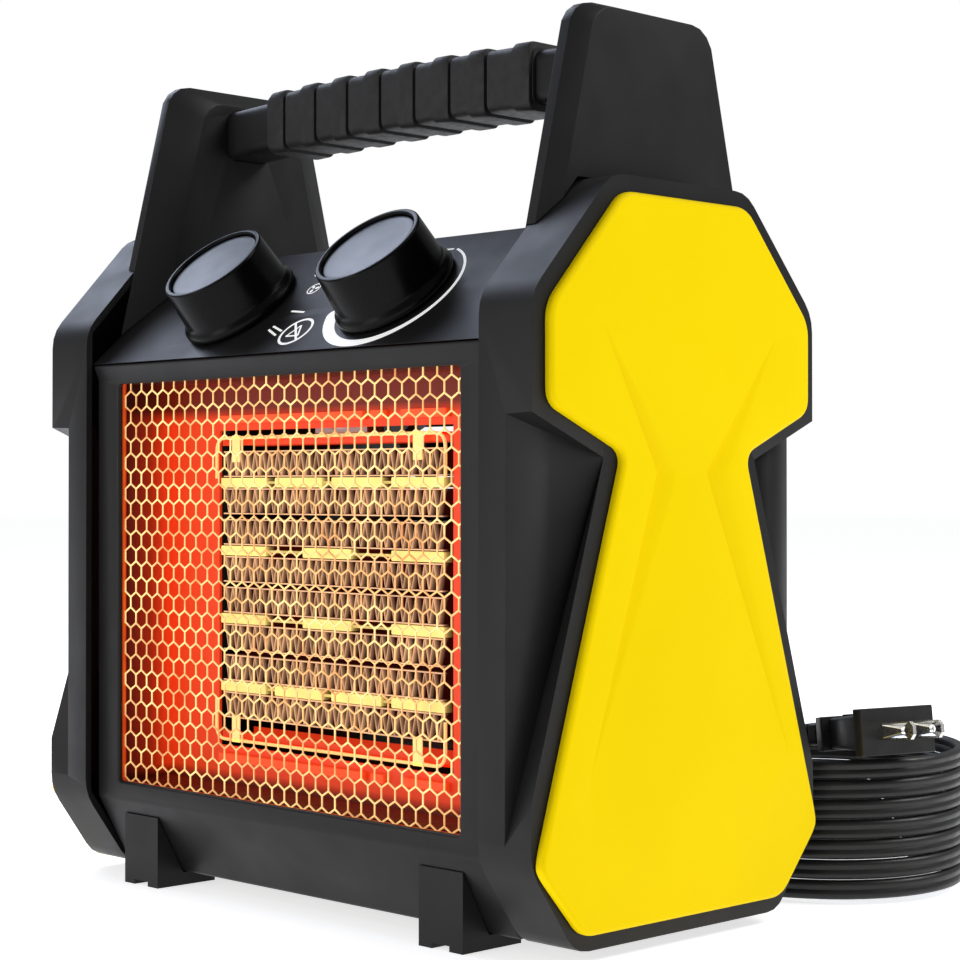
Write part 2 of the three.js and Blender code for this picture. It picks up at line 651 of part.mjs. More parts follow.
// The plug lies across the rim of the coil; its own axes are x wide, y towards the blades, z up.
const plugPlace = (() => {
  const heading = THREE.MathUtils.degToRad(PLUG.heading);
  const tilt = THREE.MathUtils.degToRad(PLUG.tilt);
  const along = new THREE.Vector3(
    Math.cos(heading) * Math.cos(tilt), Math.sin(heading) * Math.cos(tilt), Math.sin(tilt),
  );
  const wide = along.clone().cross(AXIS_Z).normalize();
  const up = wide.clone().cross(along);
  const matrix = new THREE.Matrix4().makeBasis(wide, along, up);
  const z = COIL.height + GAP + PLUG.thick / 2 / Math.cos(tilt);
  return matrix.setPosition(PLUG.x, PLUG.y, z);
})();

function taper(y0, y1, [w0, h0], [w1, h1]) {
  const points = [];
  for (const [y, w, h] of [[y0, w0, h0], [y1, w1, h1]]) {
    for (const [su, sv] of [[-1, -1], [1, -1], [1, 1], [-1, 1]]) {
      points.push(new THREE.Vector3((su * w) / 2, y, (sv * h) / 2));
    }
  }
  return solid(new ConvexGeometry(points));
}

const PLUG_FACE = 58 - PLUG.back;

function bladeBlank(side, grow, from) {
  const x = (side * PLUG.spacing) / 2;
  const half = { x: 0.75 + grow, z: 3.15 + grow };
  return block(x - half.x, x + half.x, from - grow, PLUG_FACE + 16, -half.z, half.z);
}

function plugBody() {
  const start = -PLUG.back;
  const relief = taper(start, start + 26.5, [8.4, 5.4], [15, 9]);
  const collar = taper(start + 26, start + 30, [22, 12], [23, 12.4]);
  const grip = taper(start + 29.5, start + 54, [16, 11], [25, PLUG.thick]);
  const face = taper(start + 53.7, start + 58, [33, 16.6], [33, 16.6]);
  let body = join(relief, collar, grip, face);
  for (const side of [-1, 1]) {
    body = body.subtract(solid(bladeBlank(side, 0.05, start + 50)));
  }
  return surface(body).applyMatrix4(plugPlace);
}

function plugBlade(side) {
  const start = -PLUG.back + 50;
  const hole = rod(1.6, -20, 20, new THREE.Vector3(0, PLUG_FACE + 11.5, 0), AXIS_X, 16);
  const blade = cut(solid(bladeBlank(side, 0, start)), solid(hole));
  return surface(blade).applyMatrix4(plugPlace);
}

// ---------------------------------------------------------------- assembly
add("front_bezel", frontBezel(), "black");
add("control_panel", controlPanel(), "black");
add("rear_cover", rearCover(), "black");
add("rear_grille", rearGrille(), "black");
add("base_pan", basePan(), "black");
const shell = sideShell();
const panel = sidePanel();
const rightTower = tower();
add("right_side_shell", shell, "black");
add("left_side_shell", mirrorX(shell), "black");
add("right_side_panel", panel, "yellow");
add("left_side_panel", mirrorX(panel), "yellow");
add("right_tower", rightTower, "black");
add("left_tower", mirrorX(rightTower), "black");
add("handle_core", surface(handleBar(0)), "black");
add("handle_grip", handleGrip(), "softBlack");
add("foot_front_right", foot(1, -1), "black");
add("foot_front_left", foot(-1, -1), "black");
add("foot_rear_right", foot(1, 1), "black");
add("foot_rear_left", foot(-1, 1), "black");

add("outlet_mesh", outletMesh(), "wire");
add("outlet_duct", outletDuct(), "duct");
for (let row = 0; row < 4; row += 1) {
  add(`ptc_plate_row_${row + 1}`, plateRow(row), "ceramic");
  add(`fin_strip_${2 * row + 1}`, finStrip(rowZ(row) + plateHalf), "aluminium");
  add(`fin_strip_${2 * row + 2}`, finStrip(rowZ(row) - plateHalf - finHeight), "aluminium");
}
add("element_rail_top", elementRail(1), "heatproof");
add("element_rail_bottom", elementRail(-1), "heatproof");
add("thermal_cutoff", thermalCutoff(), "steel");

add("fan_shroud", fanShroud(), "black");
add("fan_rotor", fanRotor(), "fan");
add("fan_motor", fanMotor(), "steel");
add("motor_bracket", motorBracket(), "steel");

add("mode_knob", knob(-1), "black");
add("mode_knob_cap", knobCap(-1), "cap");
add("mode_shaft", controlShaft(-1), "brass");
add("mode_switch", controlBody(-1, 14, 14), "heatproof");
add("thermostat_knob", knob(1), "black");
add("thermostat_knob_cap", knobCap(1), "cap");
add("thermostat_shaft", controlShaft(1), "brass");
add("thermostat", controlBody(1, 15, 14), "steel");
add("tip_over_switch", tipOverSwitch(), "black");
add("tip_over_plunger", tipOverPlunger(), "heatproof");
add("terminal_block", terminalBlock(), "heatproof");

let screwCount = 0;
for (const x of [-92, 92]) {
  for (const z of [80, 190]) {
    screwCount += 1;
    add(`rear_screw_${screwCount}`, screw(x, CORE.rear, z, AXIS_Y), "steel");
  }
}

add("cord_gland", cordGland(), "cord");
add("cord_lead", cordTube(leadRoute, 32), "cord");
add("cord_coil", cordCoil(), "cord");
add("cord_tail", cordTube(tailRoute, 10), "cord");
add("plug_body", plugBody(), "cord");
add("plug_blade_left", plugBlade(-1), "brass");
add("plug_blade_right", plugBlade(1), "brass");

export default heater;
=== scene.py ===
"""Looks of a portable ceramic fan heater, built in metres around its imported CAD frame.

The heater stands on z = 0, its hot-air outlet faces -Y, and the near side panel is the one at +X.
"""
import json
from math import asin, atan2, copysign, cos, hypot, pi, radians, sin, sqrt

import bmesh
import bpy
from mathutils import Matrix, Vector
from mathutils.geometry import delaunay_2d_cdt

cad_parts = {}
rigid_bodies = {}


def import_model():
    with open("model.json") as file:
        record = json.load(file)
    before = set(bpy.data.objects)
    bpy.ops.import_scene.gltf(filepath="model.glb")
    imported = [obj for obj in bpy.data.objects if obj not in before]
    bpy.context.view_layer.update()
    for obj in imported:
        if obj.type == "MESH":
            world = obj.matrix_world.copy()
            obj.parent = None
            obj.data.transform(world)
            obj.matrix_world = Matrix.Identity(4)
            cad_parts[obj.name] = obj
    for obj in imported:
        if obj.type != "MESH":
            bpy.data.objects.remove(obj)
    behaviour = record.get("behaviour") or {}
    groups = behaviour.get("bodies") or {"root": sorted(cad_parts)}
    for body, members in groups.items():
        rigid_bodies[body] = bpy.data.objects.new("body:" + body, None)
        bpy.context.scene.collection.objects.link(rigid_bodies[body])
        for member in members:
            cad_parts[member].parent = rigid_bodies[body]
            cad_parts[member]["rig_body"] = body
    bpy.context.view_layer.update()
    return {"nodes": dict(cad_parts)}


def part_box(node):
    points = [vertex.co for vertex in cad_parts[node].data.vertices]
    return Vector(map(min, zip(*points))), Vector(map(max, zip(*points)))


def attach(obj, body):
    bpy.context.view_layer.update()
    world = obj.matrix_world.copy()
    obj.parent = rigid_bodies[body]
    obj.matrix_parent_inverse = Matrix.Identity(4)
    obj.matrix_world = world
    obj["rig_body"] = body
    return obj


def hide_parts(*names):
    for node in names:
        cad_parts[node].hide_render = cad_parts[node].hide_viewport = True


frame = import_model()
NODES = frame["nodes"]
MM = 0.001

# ---- driving sizes, in millimetres
LEAN = radians(48.55)  # the control panel's lean from the vertical
PANEL_FOOT = Vector((0, -67.3, 194.3))  # the crease below the control panel
PANEL_UP = Vector((0, sin(LEAN), cos(LEAN)))
PANEL_OUT = Vector((0, -cos(LEAN), sin(LEAN)))
DIAL = {"x": 41.8, "up": 28.7, "foot": 22.7, "top": 19.9, "height": 21}
OPENING_HALF = 91.8  # half the outlet opening's width
ELEMENT = {"half": 61, "front": -41.5, "rear": -23.5, "low": 54, "high": 167, "middle": 112}
HANDLE = {"y": 2, "z": 286.5, "rise": 2.6, "depth": 21, "height": 18.6, "end": 107.5, "grip": 71, "ribs": 8}
CORD = {"width": 7.0, "thick": 3.7}
COIL = {"x": 97, "y": 128, "radius": 44.5, "first": 3.6, "pitch": 7.1}
PLUG = {"x": 132.3, "y": 100.9, "heading": -14.6, "tilt": 7, "back": 45, "thick": 13, "spacing": 12.7}
RIM_TOP = 54.4  # the coil's upper edge, which the plug lies on


def show(thing):
    bpy.context.scene.collection.objects.link(thing)


# ---- camera
def add_camera():
    data = bpy.data.cameras.new("camera")
    data.sensor_width = 36
    data.lens = 82.6
    camera = bpy.data.objects.new("camera", data)
    camera.location = (0.5915, -0.5477, 0.1478)
    camera.rotation_euler = (radians(90.2), 0, radians(45.44))
    show(camera)
    bpy.context.scene.camera = camera


add_camera()


# ---- material tools
class Nodes:
    """Short words for building a shader tree."""

    def __init__(self, name):
        self.material = bpy.data.materials.new(name)
        self.material.use_nodes = True
        self.tree = self.material.node_tree
        self.shader = self.tree.nodes["Principled BSDF"]
        self.place = self.tree.nodes.new("ShaderNodeTexCoord")

    def new(self, kind, **values):
        node = self.tree.nodes.new(kind)
        for key, value in values.items():
            if hasattr(node, key):
                setattr(node, key, value)
            else:
                node.inputs[key.replace("_", " ")].default_value = value
        return node

    def link(self, source, target):
        self.tree.links.new(source, target)

    def noise(self, scale, detail=3, roughness=0.5, stretch=(1, 1, 1)):
        """Noise in object space; scale is in lumps per metre."""
        mapping = self.new("ShaderNodeMapping")
        mapping.inputs["Scale"].default_value = stretch
        self.link(self.place.outputs["Object"], mapping.inputs["Vector"])
        node = self.new("ShaderNodeTexNoise", Scale=scale, Detail=detail, Roughness=roughness)
        self.link(mapping.outputs["Vector"], node.inputs["Vector"])
        return node.outputs["Fac"]

    def ramp(self, source, stops):
        node = self.new("ShaderNodeValToRGB")
        while len(node.color_ramp.elements) < len(stops):
            node.color_ramp.elements.new(0.5)
        for element, (at, colour) in zip(node.color_ramp.elements, stops):
            element.position = at
            element.color = (*colour, 1) if len(colour) == 3 else colour
        self.link(source, node.inputs["Fac"])
        return node.outputs["Color"]

    def spread(self, source, low, high, start=0.3, end=0.7):
        node = self.new("ShaderNodeMapRange")
        node.inputs["From Min"].default_value = start
        node.inputs["From Max"].default_value = end
        node.inputs["To Min"].default_value = low
        node.inputs["To Max"].default_value = high
        self.link(source, node.inputs["Value"])
        return node.outputs["Result"]

    def bump(self, height, strength, distance, normal=None):
        node = self.new("ShaderNodeBump", Strength=strength, Distance=distance)
        self.link(height, node.inputs["Height"])
        if normal is not None:
            self.link(normal, node.inputs["Normal"])
        return node.outputs["Normal"]

    def set(self, socket, value):
        if isinstance(value, bpy.types.NodeSocket):
            self.link(value, self.shader.inputs[socket])
        else:
            self.shader.inputs[socket].default_value = value


def tint(colour, factor):
    return tuple(min(1, channel * factor) for channel in colour)


def moulded(name, colour, roughness=0.45, grain=2600, depth=0.00004, vary=0.08, gloss=0.35, lit=0.0):
    """Injection-moulded plastic: a fine spark-eroded grain, and slow changes of tone and gloss."""
    n = Nodes(name)
    slow = n.noise(14, 2)
    n.set("Base Color", n.ramp(slow, [(0.3, tint(colour, 1 - vary)), (0.7, tint(colour, 1 + vary))]))
    fine = n.noise(grain, 2, 0.6)
    n.set("Roughness", n.spread(n.noise(60, 4), roughness - 0.05, roughness + 0.06))
    n.set("Normal", n.bump(fine, 0.35, depth, n.bump(n.noise(90, 2), 0.015, 0.0003)))
    n.set("Specular IOR Level", gloss)
    n.set("Emission Color", (1, 1, 1, 1))
    n.set("Emission Strength", lit)
    return n.material


def rubber(name, colour, roughness=0.7, grain=1800):
    n = Nodes(name)
    n.set("Base Color", n.ramp(n.noise(30, 3), [(0.3, tint(colour, 0.85)), (0.7, tint(colour, 1.2))]))
    n.set("Roughness", n.spread(n.noise(grain / 6, 3), roughness - 0.08, roughness + 0.08))
    n.set("Normal", n.bump(n.noise(grain, 3, 0.65), 0.5, 0.00007))
    n.set("Specular IOR Level", 0.35)
    n.set("Sheen Weight", 0.03)
    n.set("Sheen Roughness", 0.5)
    return n.material


def metal(name, colour, roughness=0.3, stretch=(1, 1, 1), grain=900, depth=0.00003):
    n = Nodes(name)
    lines = n.noise(grain, 3, 0.6, stretch)
    n.set("Base Color", n.ramp(n.noise(25, 3), [(0.3, tint(colour, 0.9)), (0.7, tint(colour, 1.06))]))
    n.set("Metallic", 1.0)
    n.set("Roughness", n.spread(lines, roughness - 0.07, roughness + 0.1))
    n.set("Normal", n.bump(lines, 0.3, depth))
    return n.material


def glowing(name, lit_colour, shaded_colour, strength, lit_at, shaded_at, roughness=0.5, band=None):
    """Metal or ceramic with painted glow: painted light at one depth in the outlet and painted shade at
    another (both Y, in mm).

    A band (two heights, in mm) keeps the painted glow between them, and painted shade darkens the surface
    above and below it.
    """
    n = Nodes(name)
    wander_by = 0.0022  # how far the noise moves the edge of the painted light, in metres
    blur = 2  # half the height of a band's soft edge, in mm
    split = n.new("ShaderNodeSeparateXYZ")
    n.link(n.place.outputs["Object"], split.inputs["Vector"])
    wander = n.new("ShaderNodeMath", operation="MULTIPLY_ADD")
    n.link(n.noise(70, 3), wander.inputs[0])
    wander.inputs[1].default_value = wander_by
    n.link(split.outputs["Y"], wander.inputs[2])
    shift = wander_by / 2
    # painted light and shade: the colour goes from a lit tone at one depth to a shaded tone at another
    depth = n.spread(wander.outputs["Value"], 0, 1, lit_at * MM + shift, shaded_at * MM + shift)
    half_lit_colour = tuple(0.7 * c + 0.3 * h for c, h in zip(shaded_colour, lit_colour))
    colour = n.ramp(depth, [(0.0, lit_colour), (0.45, half_lit_colour), (1.0, shaded_colour)])
    if band:
        # painted shade: the colour is darkened above and below the band
        above = n.spread(split.outputs["Z"], 1, 0.2, (band[1] - blur) * MM, (band[1] + blur) * MM)
        below = n.spread(split.outputs["Z"], 0.12, 1, (band[0] - blur) * MM, (band[0] + blur) * MM)
        inside = n.new("ShaderNodeMath", operation="MULTIPLY")
        n.link(above, inside.inputs[0])
        n.link(below, inside.inputs[1])
        band_shaded = n.new("ShaderNodeVectorMath", operation="SCALE")
        n.link(colour, band_shaded.inputs["Vector"])
        n.link(inside.outputs["Value"], band_shaded.inputs["Scale"])
        colour = band_shaded.outputs["Vector"]
    n.set("Base Color", colour)
    # painted glow: the surface gives off its painted colour as light, though it is no lamp
    n.set("Emission Color", colour)
    n.set("Emission Strength", strength)
    n.set("Roughness", n.spread(n.noise(400, 3), roughness - 0.08, roughness + 0.08))
    n.set("Normal", n.bump(n.noise(1500, 3), 0.25, 0.00004))
    return n.material


LOOKS = {
    "black": moulded("black_plastic", (0.0095, 0.0095, 0.0102), 0.42, gloss=0.22),
    "black_smooth": moulded(
        "black_plastic_smooth", (0.0015, 0.0015, 0.0017), 0.26, 3200, 0.00002, gloss=0.1,
    ),
    "yellow": moulded("yellow_plastic", (0.84, 0.62, 0.0), 0.45, 3000, 0.00002, 0.02, 0.03),
    "cap": moulded("cap_plastic", (0.018, 0.021, 0.029), 0.34, 3400, 0.00001, gloss=0.3),
    "fan": moulded("fan_plastic", (0.09, 0.095, 0.1), 0.45),
    "heatproof": moulded("heatproof_plastic", (0.72, 0.68, 0.58), 0.55),
    # painted glow: the white print also emits light, which makes it brighter than the lamps alone
    "ink": moulded("white_ink", (0.86, 0.86, 0.85), 0.55, 2200, 0.00001, 0.02, lit=0.4),
    "grip": rubber("grip_rubber", (0.0065, 0.0065, 0.007), 0.6),
    "cord": rubber("cord_vinyl", (0.009, 0.009, 0.0095), 0.4, 1200),
    "steel": metal("zinc_steel", (0.62, 0.63, 0.65), 0.34),
    "brass": metal("plated_brass", (0.78, 0.77, 0.74), 0.24, (1, 1, 6)),
    # painted glow and painted highlight: the mesh wires and their rim emit pale yellow on their fronts,
    # with painted shade in dark red behind
    "wire": glowing("painted_light_mesh_wire", (0.95, 0.74, 0.3), (0.5, 0.12, 0.02), 0.62, -62.4, -60.6, 0.4),
    "rim": glowing("painted_light_rim", (0.75, 0.11, 0.01), (0.3, 0.01, 0.002), 0.6, -63, -60),
    # painted glow: fins, ceramic plates and clips emit light, bright at the outlet's front and darkened by
    # painted shade further back
    "fin": glowing("painted_light_fin", (0.8, 0.48, 0.26), (0.03, 0.002, 0.001), 0.5, -40.9, -38.2),
    "ceramic": glowing("painted_light_ceramic", (0.92, 0.76, 0.22), (0.05, 0.004, 0.001), 0.6, -41.6, -37),
    "clip": glowing("painted_light_clip", (0.95, 0.74, 0.26), (0.5, 0.12, 0.02), 0.6, -43.5, -37),
    # painted glow: the duct emits red, brightest at its back near the element, with painted shade towards
    # the front and above and below the element
    "duct": glowing(
        "painted_light_duct", (0.72, 0.045, 0.006), (0.06, 0.002, 0.001), 0.42, -42, -60, band=(41, 175),
    ),
    # painted glow: the ledges emit bright orange at their fronts, with painted shade behind
    "ledge": glowing("painted_light_ledge", (0.85, 0.075, 0.012), (0.3, 0.02, 0.004), 0.6, -42, -37),
}


# ---- mesh tools
def finish_mesh(name, mesh, look, body, replaced=(), sharp=30):
    """Shades, paints and places a mesh whose points are in metres."""
    mesh.validate()
    for polygon in mesh.polygons:
        polygon.use_smooth = True
    mesh.set_sharp_from_angle(angle=radians(sharp))
    if not mesh.materials:
        mesh.materials.append(LOOKS[look])
    piece = bpy.data.objects.new(name, mesh)
    show(piece)
    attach(piece, body)
    if replaced:
        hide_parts(*replaced)
    return piece


def from_points(name, points, faces, look, body, replaced=(), sharp=30):
    """A piece from points in millimetres."""
    mesh = bpy.data.meshes.new(name)
    mesh.from_pydata([tuple(c * MM for c in p) for p in points], [], faces)
    shell = bmesh.new()
    shell.from_mesh(mesh)
    bmesh.ops.remove_doubles(shell, verts=shell.verts, dist=1e-6)
    bmesh.ops.recalc_face_normals(shell, faces=shell.faces)
    shell.to_mesh(mesh)
    shell.free()
    return finish_mesh(name, mesh, look, body, replaced, sharp)


class Build:
    """Collects points and faces of one piece, in millimetres."""

    def __init__(self):
        self.points = []
        self.faces = []

    def add(self, points, faces):
        start = len(self.points)
        self.points += [Vector(p) for p in points]
        self.faces += [[start + k for k in face] for face in faces]

    def tube(self, rings, closed=False, caps=True):
        """Skins a row of equal rings of points."""
        sides = len(rings[0])
        faces = []
        last = len(rings) if closed else len(rings) - 1
        for i in range(last):
            j = (i + 1) % len(rings)
            for k in range(sides):
                m = (k + 1) % sides
                faces.append((i * sides + k, i * sides + m, j * sides + m, j * sides + k))
        if caps and not closed:
            faces.append(tuple(reversed(range(sides))))
            faces.append(tuple((len(rings) - 1) * sides + k for k in range(sides)))
        self.add([p for ring in rings for p in ring], faces)

    def box(self, low, high):
        x0, y0, z0 = low
        x1, y1, z1 = high
        ring = [(x0, y0), (x1, y0), (x1, y1), (x0, y1)]
        self.tube([[(x, y, z) for x, y in ring] for z in (z0, z1)])

    def turn(self, profile, centre, axis, segments=96):
        """A turned solid; the profile is (radius, distance along the axis), from axis to axis."""
        spin = Vector((0, 0, 1)).rotation_difference(Vector(axis).normalized()).to_matrix()
        rings = []
        for radius, along in profile:
            radius = max(radius, 0.001)
            ring = []
            for k in range(segments):
                angle = 2 * pi * k / segments
                local = Vector((radius * cos(angle), radius * sin(angle), along))
                ring.append(Vector(centre) + spin @ local)
            rings.append(ring)
        self.tube(rings)

    def piece(self, name, look, body, slot, replaced=(), sharp=30):
        return from_points(name, self.points, self.faces, look, body, replaced, sharp)


def bend(before, corner, after, radius, most, steps):
    """An arc-like curve round one corner, which takes at most the share `most` of each side."""
    back = min(radius, (corner - before).length * most)
    on = min(radius, (after - corner).length * most)
    start = corner + (before - corner).normalized() * back
    end = corner + (after - corner).normalized() * on
    shares = [k / steps for k in range(steps + 1)]
    return [start * (1 - t) ** 2 + corner * 2 * t * (1 - t) + end * t * t for t in shares]


def rounded(profile, radius, steps=4):
    """A polyline with every inner corner rounded."""
    points = [Vector(p) for p in profile]
    out = [points[0]]
    for before, corner, after in zip(points, points[1:], points[2:]):
        out += bend(before, corner, after, radius, 0.45, steps)
    return [*out, points[-1]]


def rounded_loop(outline, radius, steps=6):
    """A closed outline with its corners rounded."""
    points = [Vector(p) for p in outline]
    out = []
    for i, corner in enumerate(points):
        out += bend(points[i - 1], corner, points[(i + 1) % len(points)], radius, 0.48, steps)
    return out


def inset_loop(outline, distance):
    """The outline (counter-clockwise) moved inwards, point by point."""
    points = [Vector(p) for p in outline]
    out = []
    for i, point in enumerate(points):
        before = (point - points[i - 1]).normalized()
        after = (points[(i + 1) % len(points)] - point).normalized()
        normal = Vector((-before.y, before.x)) + Vector((-after.y, after.x))
        normal.normalize()
        reach = distance / max(0.3, normal.dot(Vector((-before.y, before.x))))
        out.append(point + normal * reach)
    return out


def bevel_edges(piece, width, segments, degrees):
    bevel = piece.modifiers.new("edges", "BEVEL")
    bevel.width = width * MM
    bevel.segments = segments
    bevel.limit_method = "ANGLE"
    bevel.angle_limit = radians(degrees)
    return bevel


def soften(node, width):
    """The CAD shape with flat faces merged and edges rounded, in a black piece that stands for the node."""
    shape = bmesh.new()
    shape.from_mesh(NODES[node].data)
    bmesh.ops.remove_doubles(shape, verts=shape.verts, dist=2e-6)
    bmesh.ops.dissolve_limit(
        shape, angle_limit=radians(0.6), verts=shape.verts, edges=shape.edges,
    )
    bmesh.ops.recalc_face_normals(shape, faces=shape.faces)
    mesh = bpy.data.meshes.new(node + "_skin")
    shape.to_mesh(mesh)
    shape.free()
    body = NODES[node]["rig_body"]
    piece = finish_mesh(node + "_skin", mesh, "black", body, (node,), 60)
    bevel = bevel_edges(piece, width, 3, 28)
    bevel.miter_outer = "MITER_ARC"
    bevel.harden_normals = True


def paint(node, look):
    """Gives a CAD node its finish and leaves its shape as it is."""
    NODES[node].data.materials.clear()
    NODES[node].data.materials.append(LOOKS[look])


# ---- mains lead
# Points of the lead's free stretches, in mm: from the gland to the coil, and from the coil to the plug.
LEAD = [
    (-88, 95.7, 42), (-88, 100.5, 41.9), (-86.5, 112.1, 40), (-82, 123, 35.6), (-74.8, 132.3, 29.2),
    (-65.5, 139.5, 22), (-54.6, 144, 14.8), (-43, 145.5, 8.6), (-31.4, 144, 4.4), (-20.5, 139.5, 2.4),
    (-7.5, 132, 2), (5.5, 124.5, 2), (18.5, 117, 2.1), (31.5, 109.5, 2.4), (44.5, 102, 2.9),
    (57.4, 94.5, 3.4), (67.2, 88.9, 3.6),
]
TAIL = [
    (64.7, 151.6, 50.4), (63.3, 144.6, 50.2), (63.6, 136.8, 50.2), (66, 129.3, 50.5), (70.2, 122.7, 51.4),
    (75.9, 117.4, 53), (81.9, 114.2, 55), (85.6, 113, 56.1), (88.7, 112.2, 56.7),
]


def spline(points, step):
    """A smooth line through the points (centripetal Catmull-Rom), resampled every `step` millimetres."""
    points = [Vector(p) for p in points]
    ends = [points[0] * 2 - points[1], *points, points[-1] * 2 - points[-2]]
    fine = []
    for p0, p1, p2, p3 in zip(ends, ends[1:], ends[2:], ends[3:]):
        t1 = (p1 - p0).length ** 0.5
        t2 = t1 + (p2 - p1).length ** 0.5
        t3 = t2 + (p3 - p2).length ** 0.5
        for k in range(12):
            t = t1 + (t2 - t1) * k / 12
            a1 = p0 * ((t1 - t) / t1) + p1 * (t / t1)
            a2 = p1 * ((t2 - t) / (t2 - t1)) + p2 * ((t - t1) / (t2 - t1))
            a3 = p2 * ((t3 - t) / (t3 - t2)) + p3 * ((t - t2) / (t3 - t2))
            b1 = a1 * ((t2 - t) / t2) + a2 * (t / t2)
            b2 = a2 * ((t3 - t) / (t3 - t1)) + a3 * ((t - t1) / (t3 - t1))
            fine.append(b1 * ((t2 - t) / (t2 - t1)) + b2 * ((t - t1) / (t2 - t1)))
    fine.append(points[-1])
    return resampled(fine, step)


def resampled(fine, step):
    total = sum((b - a).length for a, b in zip(fine, fine[1:]))
    count = max(2, round(total / step))
    out = [fine[0]]
    gone = 0
    want = total / count
    for a, b in zip(fine, fine[1:]):
        length = (b - a).length
        while length > 0 and want <= gone + length + 1e-9 and len(out) < count:
            out.append(a.lerp(b, (want - gone) / length))
            want += total / count
        gone += length
    out.append(fine[-1])
    return out


# The lead comes alongside the coil just outside it, eases in, winds up as a helix, and leaves the top on
# a smaller loop inside the coil, which touches the helix where the helix ends.
LOOP = {"radius": 30, "touch": 105.4, "leave": 161.4}
START = atan2(LEAD[-1][1] - COIL["y"], LEAD[-1][0] - COIL["x"]) % (2 * pi)
END = radians(LOOP["touch"]) + 2 * pi * 7
START_RADIUS = hypot(LEAD[-1][1] - COIL["y"], LEAD[-1][0] - COIL["x"])


def ease(t):
    t = min(1, max(0, t))
    return t * t * (3 - 2 * t)


def coil_point(angle):
    """The helix of the coil; the angle counts on from turn to turn, in radians."""
    rise = COIL["pitch"] * (angle - START) / (2 * pi)
    inward = ease((angle - START) / radians(60))
    radius = START_RADIUS + (COIL["radius"] - START_RADIUS) * inward
    return Vector((
        COIL["x"] + radius * cos(angle), COIL["y"] + radius * sin(angle), COIL["first"] + rise,
    ))


def loop_point(t):
    """The inner loop, from where it leaves the helix (0) to where the tail begins (1)."""
    touch = radians(LOOP["touch"])
    away = COIL["radius"] - LOOP["radius"]
    angle = radians(LOOP["touch"] + (LOOP["leave"] - LOOP["touch"]) * t)
    top = coil_point(END).z
    return Vector((
        COIL["x"] + away * cos(touch) + LOOP["radius"] * cos(angle),
        COIL["y"] + away * sin(touch) + LOOP["radius"] * sin(angle),
        top + (TAIL[0][2] - top) * ease(t),
    ))


def cord_route():
    """Points of the whole lead, and how far each is turned from lying flat (0) to standing on edge (1)."""
    lead = spline(LEAD, 3)
    tail = spline(TAIL, 3)
    count = round((END - START) / radians(5))
    coil = [coil_point(START + (END - START) * k / count) for k in range(1, count + 1)]
    loop = [loop_point(k / 10) for k in range(1, 10)]
    route = lead + coil + loop + tail
    half = CORD["thick"] / 2
    lift = CORD["width"] / 2 - half
    upright = []
    for i, point in enumerate(route):
        if i < len(lead) / 2:
            upright.append(0)
        elif i < len(lead):
            upright.append(asin(min(1, max(0, (point.z - half - 0.05) / lift))) / (pi / 2))
        else:
            upright.append(ease((len(route) - 1 - i) / 9))
    return route, upright


def twin_section(turn):
    """The flat twin cord's outline, two round cores with a groove between them."""
    reach = CORD["width"] / 2
    half = CORD["thick"] / 2
    centre = reach - half
    ring = []
    for side in (1, -1):
        for k in range(7):
            angle = radians(-105 + 210 * k / 6) if side > 0 else radians(75 + 210 * k / 6)
            ring.append((side * centre + half * cos(angle), half * sin(angle)))
        ring.append((0, side * half * 0.62))
    c, s = cos(turn), sin(turn)
    return [(u * c - v * s, u * s + v * c) for u, v in ring]


def mains_lead():
    route, upright = cord_route()
    build = Build()
    rings = []
    for i, point in enumerate(route):
        ahead = (route[min(i + 1, len(route) - 1)] - route[max(i - 1, 0)]).normalized()
        side = ahead.cross(Vector((0, 0, 1))).normalized()
        up = side.cross(ahead)
        section = twin_section(upright[i] * pi / 2)
        rings.append([point + side * u + up * v for u, v in section])
    build.tube(rings)
    lead = build.piece(
        "mains_lead", "cord", "casing", "cord_rubber", ("cord_lead", "cord_coil", "cord_tail"), 50,
    )
    plug = plug_pieces()
    strain_relief()


def lofted(build, sections, segments=6):
    """Skins rounded rectangles; each section is (distance, width, height, corner radius)."""
    rings = []
    for along, wide, high, corner in sections:
        u, v = wide / 2, high / 2
        outline = [(-u, -v), (u, -v), (u, v), (-u, v)]
        rings.append([(p.x, along, p.y) for p in rounded_loop(outline, corner, segments)])
    build.tube(rings)


def plug_matrix():
    heading, tilt = radians(PLUG["heading"]), radians(PLUG["tilt"])
    along = Vector((
        cos(heading) * cos(tilt), sin(heading) * cos(tilt), sin(tilt),
    ))
    wide = along.cross(Vector((0, 0, 1))).normalized()
    up = wide.cross(along)
    centre = Vector((PLUG["x"], PLUG["y"], RIM_TOP + 0.3 + PLUG["thick"] / 2 / cos(tilt)))
    matrix = Matrix((wide, along, up)).transposed().to_4x4()
    matrix.translation = centre
    return matrix


